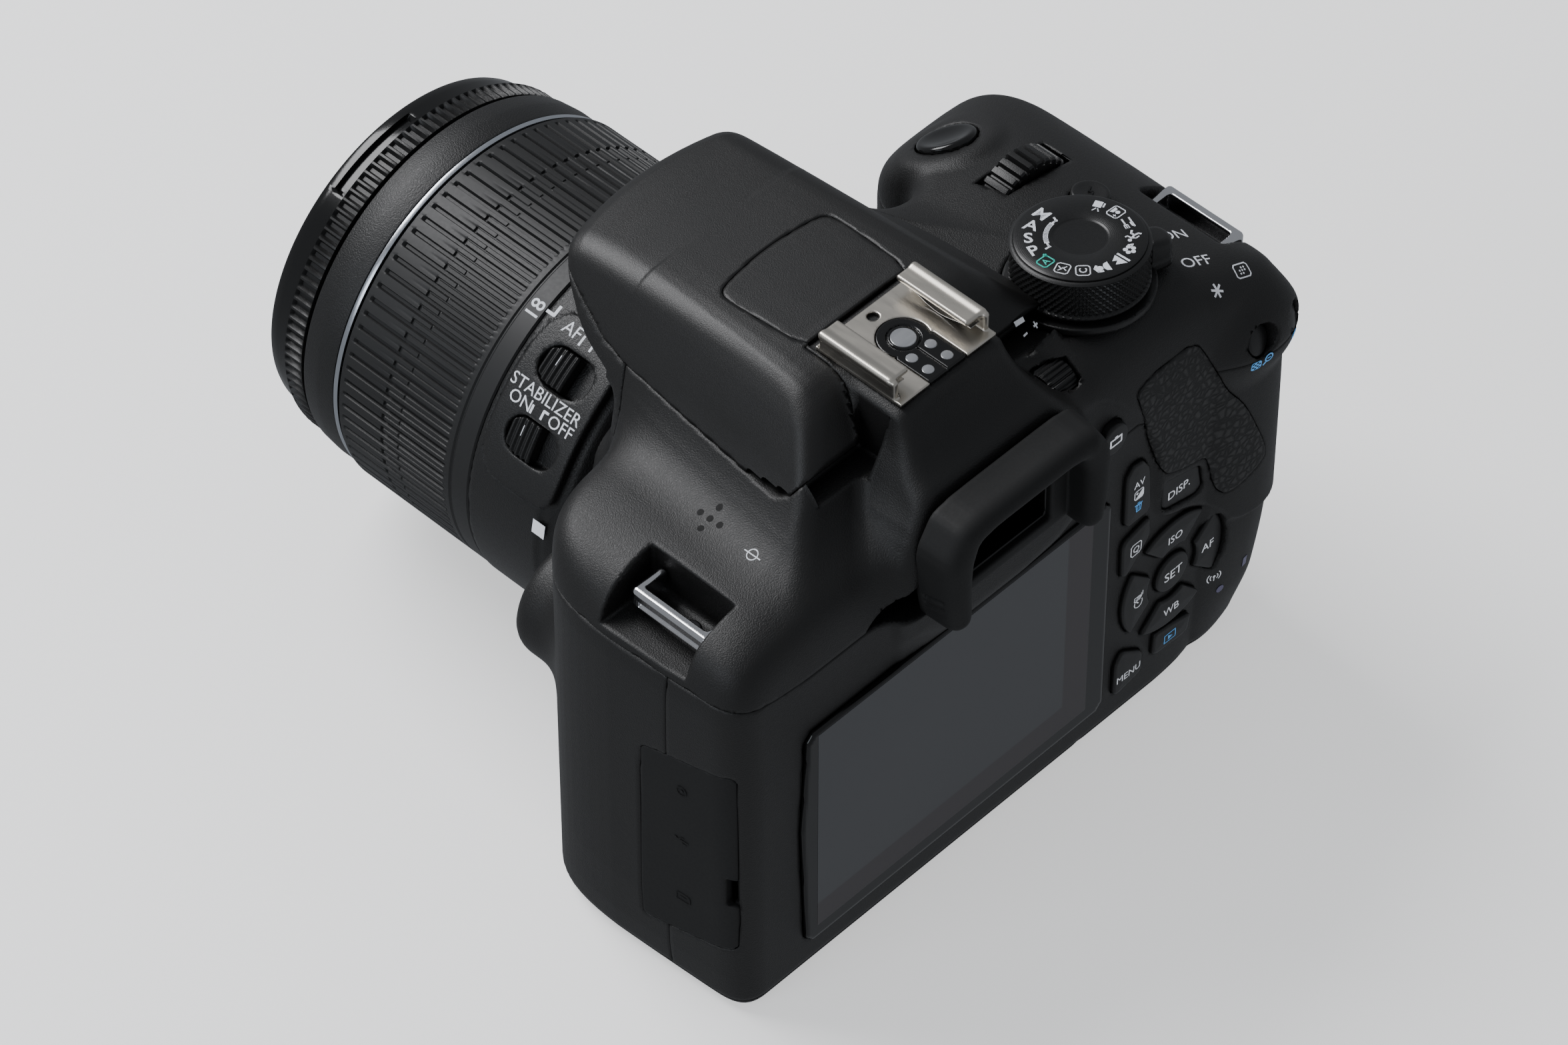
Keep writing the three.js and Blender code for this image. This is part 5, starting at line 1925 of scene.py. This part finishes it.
def magnifier(p, plus):
    p.line(circle(0, 0.2, 0.75, 18), 0.24, True)
    p.line([(-0.55, -0.4), (-1.1, -1.0)], 0.34)
    p.line([(-0.35, 0.2), (0.35, 0.2)], 0.2)
    if plus:
        p.line([(0, -0.15), (0, 0.55)], 0.2)


smaller = Print()
smaller.placed(mark(checker), -1.4, -0.1, 0, 0.95)
smaller.placed(mark(lambda p: magnifier(p, False)), 1.0, 0.2)
smaller.lay(
    "zoom_out_marks", on_body((-57.6, 61.0, 66.0), (-1, 0.1, 0), (0, -0.1, 1)), BLUE_INK, "camera_body",
)
mark(lambda p: magnifier(p, True)).lay(
    "zoom_in_mark", on_body((-65.2, 59.0, 65.4), (-0.9, -0.45, 0), (0, -0.1, 1)), BLUE_INK, "camera_body",
)


def camera_icon(p):
    p.line([(-1.2, -0.75), (1.2, -0.75), (1.2, 0.6), (-1.2, 0.6)], 0.34, True)
    p.prism([(-0.5, 0.6), (0.5, 0.6), (0.3, 1.05), (-0.3, 1.05)])


def compensation(p):
    p.text("AV", 1.35, 0, 2.5)
    p.box(0, 0.1, 1.0, 0.95, 0.16)
    p.prism([(-0.95, -0.8), (0.95, -0.8), (0.95, 0.95)])
    p.line([(-0.75, 0.45), (-0.15, 0.45)], 0.14)
    p.line([(-0.45, 0.15), (-0.45, 0.75)], 0.14)


def bin_icon(p):
    p.line([(-0.6, 0.45), (-0.45, -0.85), (0.45, -0.85), (0.6, 0.45)], 0.18, True)
    p.line([(-0.85, 0.62), (0.85, 0.62)], 0.2)
    p.line([(-0.3, 0.95), (0.3, 0.95)], 0.18)
    for u in (-0.22, 0.22):
        p.line([(u, 0.25), (u * 0.8, -0.65)], 0.12)


def quick_icon(p):
    p.box(0, 0, 1.2, 1.3, 0.17)
    p.text("Q", 1.35)


def play_icon(p):
    p.line([(-1.3, -0.85), (1.3, -0.85), (1.3, 0.85), (-1.3, 0.85)], 0.17, True)
    p.prism([(-0.45, -0.5), (0.6, 0.0), (-0.45, 0.5)])


def burst_and_timer(p):
    for k in (0, 0.3, 0.6):
        p.line([(-1.0 + k, 0.75 + k), (0.4 + k, 0.75 + k), (0.4 + k, 1.6 + k)], 0.14)
    p.line([(-1.0, 0.75), (-1.0, 1.6), (0.4, 1.6)], 0.14)
    p.line([polar(0.95, a) for a in range(130, 400, 20)], 0.18)
    p.line([(0, 0), (-0.5, 0.5)], 0.22)


buttons_printed = [
    ("live_view_button", "live_view_key", -27, 69.3, camera_icon, WHITE_INK),
    ("exposure_button", "exposure_key", -33.7, 51.8, compensation, WHITE_INK),
    ("exposure_button", "exposure_key", -33.7, 49.0, bin_icon, BLUE_INK),
    ("quick_button", "quick_key", -33.7, 39.3, quick_icon, WHITE_INK),
    ("display_button", "display_key", -43.3, 45.6, lambda p: p.text("DISP.", 1.7), WHITE_INK),
    ("playback_button", "playback_key", -43.2, 11.2, play_icon, BLUE_INK),
    ("menu_button", "menu_key", -33.5, 10.3, lambda p: p.text("MENU", 1.45), WHITE_INK),
    ("set_button", "set_key", KEY_X, KEY_Z, lambda p: p.text("SET", 1.9), WHITE_INK),
    ("key_up", "key_up_part", KEY_X, KEY_Z + 8.4, lambda p: p.text("ISO", 1.6), WHITE_INK),
    ("key_down", "key_down_part", KEY_X, KEY_Z - 8.4, lambda p: p.text("WB", 1.6), WHITE_INK),
    ("key_right", "key_right_part", KEY_X - 8.2, KEY_Z, lambda p: p.text("AF", 1.7), WHITE_INK),
    ("key_left", "key_left_part", KEY_X + 8.2, KEY_Z - 0.5, burst_and_timer, WHITE_INK),
]
for number, (button, body, x, z, draw, ink) in enumerate(buttons_printed):
    mark(draw).lay(f"{button}_mark_{number}", on_button(button, x, z), ink, body)


def wireless(p):
    p.line([(0, -0.9), (0, 0.1)], 0.16)
    p.disc(0, 0.15, 0.26, 12)
    for r in (0.75, 1.3):
        p.line([polar(r, a) for a in range(-45, 46, 15)], 0.17)
        p.line([polar(r, a) for a in range(135, 226, 15)], 0.17)


mark(wireless).lay(
    "wireless_mark", on_body((-53.3, 62, 17.2), (-1, 0, 0), (0, 0, 1)), WHITE_INK, "camera_body",
)
mark(lambda p: p.disc(0, 0, 0.75, 24)).lay(
    "wireless_lamp", on_body((-54.9, 62, 13.2), (-1, 0, 0), (0, 0, 1), None, 0.05), LAMP_INK, "camera_body",
    "display_glass",
)
mark(lambda p: p.line([(0, -1.1), (0, 1.1)], 1.0)).lay(
    "card_lamp", on_body((-59.4, 62, 15.6), (-1, 0.2, 0), (0.25, 0, 1), None, 0.05), LAMP_INK,
    "camera_body", "display_glass",
)


# ---- lens
mark(
    lambda p: p.prism([(-1.3, -1.3), (1.3, -1.3), (1.3, 1.3), (-1.3, 1.3)])
).lay("mount_index", on_barrel(10.5, -6.9, 34.0), WHITE_INK, "camera_body")
PANEL_R = 34.75


def hook(p):
    """A short bar with a bend: the mark of a switch's second place."""
    p.line([(-0.1, -0.9), (-0.1, 0.6), (0.9, 0.6)], 0.42)


mark(lambda p: p.text("AF", 2.2)).lay(
    "mark_autofocus", on_barrel(62.6, -16.0, PANEL_R), WHITE_INK, "camera_body",
)
mark(lambda p: p.line([(0, -0.9), (0, 0.9)], 0.42)).lay(
    "mark_autofocus_bar", on_barrel(61.6, -13.6, PANEL_R), WHITE_INK, "camera_body",
)
mark(hook).lay("mark_manual_bar", on_barrel(61.8, -11.3, PANEL_R), WHITE_INK, "camera_body")
mark(lambda p: p.text("MF", 2.2)).lay("mark_manual", on_barrel(62.6, -7.9, PANEL_R), WHITE_INK, "camera_body")
mark(lambda p: p.text("STABILIZER", 2.05)).lay(
    "mark_stabilizer", on_barrel(44.4, -13.2, PANEL_R), WHITE_INK, "camera_body",
)
mark(lambda p: p.text("ON", 2.05)).lay(
    "mark_stabilizer_on", on_barrel(40.4, -17.1, PANEL_R), WHITE_INK, "camera_body",
)
mark(lambda p: p.line([(0, -0.75), (0, 0.75)], 0.42)).lay(
    "mark_stabilizer_on_bar", on_barrel(40.0, -14.6, PANEL_R), WHITE_INK, "camera_body",
)
mark(hook).lay("mark_stabilizer_off_bar", on_barrel(40.4, -12.3, PANEL_R), WHITE_INK, "camera_body")
mark(lambda p: p.text("OFF", 2.05)).lay(
    "mark_stabilizer_off", on_barrel(40.4, -8.5, PANEL_R), WHITE_INK, "camera_body",
)
for switch, (degrees, middle) in SWITCHES.items():
    mark(lambda p: p.line([(0, -0.9), (0, 0.9)], 0.5)).lay(
        switch + "_line", on_barrel(degrees + 1.6, middle - SWITCH_TRAVEL / 2 - 0.3, 34.72), WHITE_INK,
        switch + "_part",
    )
zoom_numbers = Print()
for number, degrees in (("18", 61.5), ("24", 82), ("35", 105), ("55", 135)):
    zoom_numbers.placed(
        mark(lambda p, number=number: p.text(number, 2.5, 0, 0, 0, 0.03)),
        math.radians(degrees - 61.5) * 33.8, 0,
    )
zoom_numbers.lay("zoom_numbers", on_barrel(61.5, -24.3, 33.8, False), WHITE_INK, "zoom_grip")
mark(lambda p: p.line([(-0.9, 1.0), (-0.9, -0.6), (0.9, -0.6)], 0.55)).lay(
    "zoom_index", on_barrel(64.5, -21.3, 34.0, False), WHITE_INK, "camera_body",
)


# ---- port door: raised pictures in the rubber
def usb_icon(p):
    p.line([(-1.2, 0), (1.2, 0)], 0.2)
    p.disc(-1.3, 0, 0.34, 10)
    p.line([(-0.7, 0), (-0.2, 0.6), (0.4, 0.6)], 0.17)
    p.line([(-0.3, 0), (0.2, -0.6), (0.8, -0.6)], 0.17)


def plug_icon(p):
    p.box(0, 0, 1.3, 0.8, 0.18)
    p.line([(-0.6, 0.1), (0.6, 0.1)], 0.18)


def remote_icon(p):
    p.line(circle(0, 0, 0.9, 20), 0.18, True)
    p.disc(0, 0, 0.32, 10)


for name, draw, z in (
    ("port_mark_top", remote_icon, 45.5), ("port_mark_middle", usb_icon, 34.0),
    ("port_mark_low", plug_icon, 20.5),
):
    mark(draw).lay(
        name, on_body((60, 44.6, z), (0, 1, 0), (0, 0, 1), None, 0.1), EYE_RUBBER, "port_flap",
        "soft_rubber",
    )

# ---------------------------------------------------------------- the inner pieces that stay as packed
KEPT = {
    "lens_mount": CHROME, "reflex_mirror": CHROME, "flash_lamp": FLASH_WINDOW,
    "focusing_screen": FLASH_WINDOW, "eyepiece_lens": EYE_GLASS, "rear_lens_element": FRONT_GLASS,
    "tripod_socket": BRASS, "image_sensor": BOARD, "main_board": BOARD, "flash_capacitor": CELL,
    "battery": CELL, "memory_card": CELL, "battery_door": BODY, "port_panel": INNER, "mirror_box": INNER,
    "pentamirror": INNER, "shutter_unit": INNER, "shutter_curtain": DARK_STEEL, "display_panel": INNER,
}
for node, finish in KEPT.items():
    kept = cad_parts[node]
    kept.data.materials.clear()
    kept.data.materials.append(finish)


# ---------------------------------------------------------------- floor, light and camera
bpy.ops.mesh.primitive_plane_add(size=8, location=(0, 0, -0.0002))
floor = bpy.context.active_object
floor.name = "studio_floor"
paper = Finish("pale_paper")
fibre = paper.noise(900.0, 2.0)
floor.data.materials.append(
    paper.surface(
        Base_Color=paper.blend(fibre, (0.86, 0.86, 0.86, 1), (0.90, 0.90, 0.90, 1)),
        Roughness=(fibre - 0.5) * 0.1 + 0.9, Specular_IOR_Level=0.1, Emission_Color=(1, 1, 1, 1),
        Emission_Strength=0.7,
    )
)
floor.visible_glossy = False


def soft_light(name, towards, distance, size, power, color=(1, 1, 1)):
    """A square soft light in the direction it is seen from the camera's middle."""
    lamp = bpy.data.lights.new(name, "AREA")
    lamp.shape = "RECTANGLE"
    lamp.size, lamp.size_y = size
    lamp.energy = power
    lamp.color = color
    made = bpy.data.objects.new(name, lamp)
    direction = Vector(towards).normalized()
    made.location = direction * distance + Vector((0, 0, 0.05))
    made.rotation_euler = direction.to_track_quat("Z", "Y").to_euler()
    bpy.context.scene.collection.objects.link(made)
    return made


soft_light("overhead_softbox", (0.12, -0.62, 0.75), 1.1, (0.75, 0.55), 13, (0.98, 0.98, 1.0))
soft_light("left_softbox", (0.95, -0.1, 0.45), 1.3, (0.6, 0.5), 3.0, (0.86, 0.92, 1.0))

world = bpy.data.worlds.new("studio")
bpy.context.scene.world = world
world.use_nodes = True
sky = world.node_tree
sky.nodes.clear()
background = sky.nodes.new("ShaderNodeBackground")
background.inputs["Color"].default_value = (0.90, 0.94, 1.0, 1)
background.inputs["Strength"].default_value = 0.30
output = sky.nodes.new("ShaderNodeOutputWorld")
sky.links.new(background.outputs["Background"], output.inputs["Surface"])

PHOTO_WIDTH = 2352
FOCAL_PIXELS = 10724.5
eye = bpy.data.cameras.new("studio_camera")
eye.sensor_width = 36
eye.lens = 36 * FOCAL_PIXELS / PHOTO_WIDTH
eye.clip_end = 20
viewer = bpy.data.objects.new("studio_camera", eye)
right = Vector((-0.69351, 0.72044, -0.00010))
up = Vector((-0.53059, -0.51066, 0.67653))
forward = Vector((-0.48735, -0.46924, -0.73641))
rotation = Matrix((right, up, -forward)).transposed()
viewer.matrix_world = Matrix.Translation((0.55237, 0.53946, 0.86070)) @ rotation.to_4x4()
bpy.context.scene.collection.objects.link(viewer)
bpy.context.scene.camera = viewer
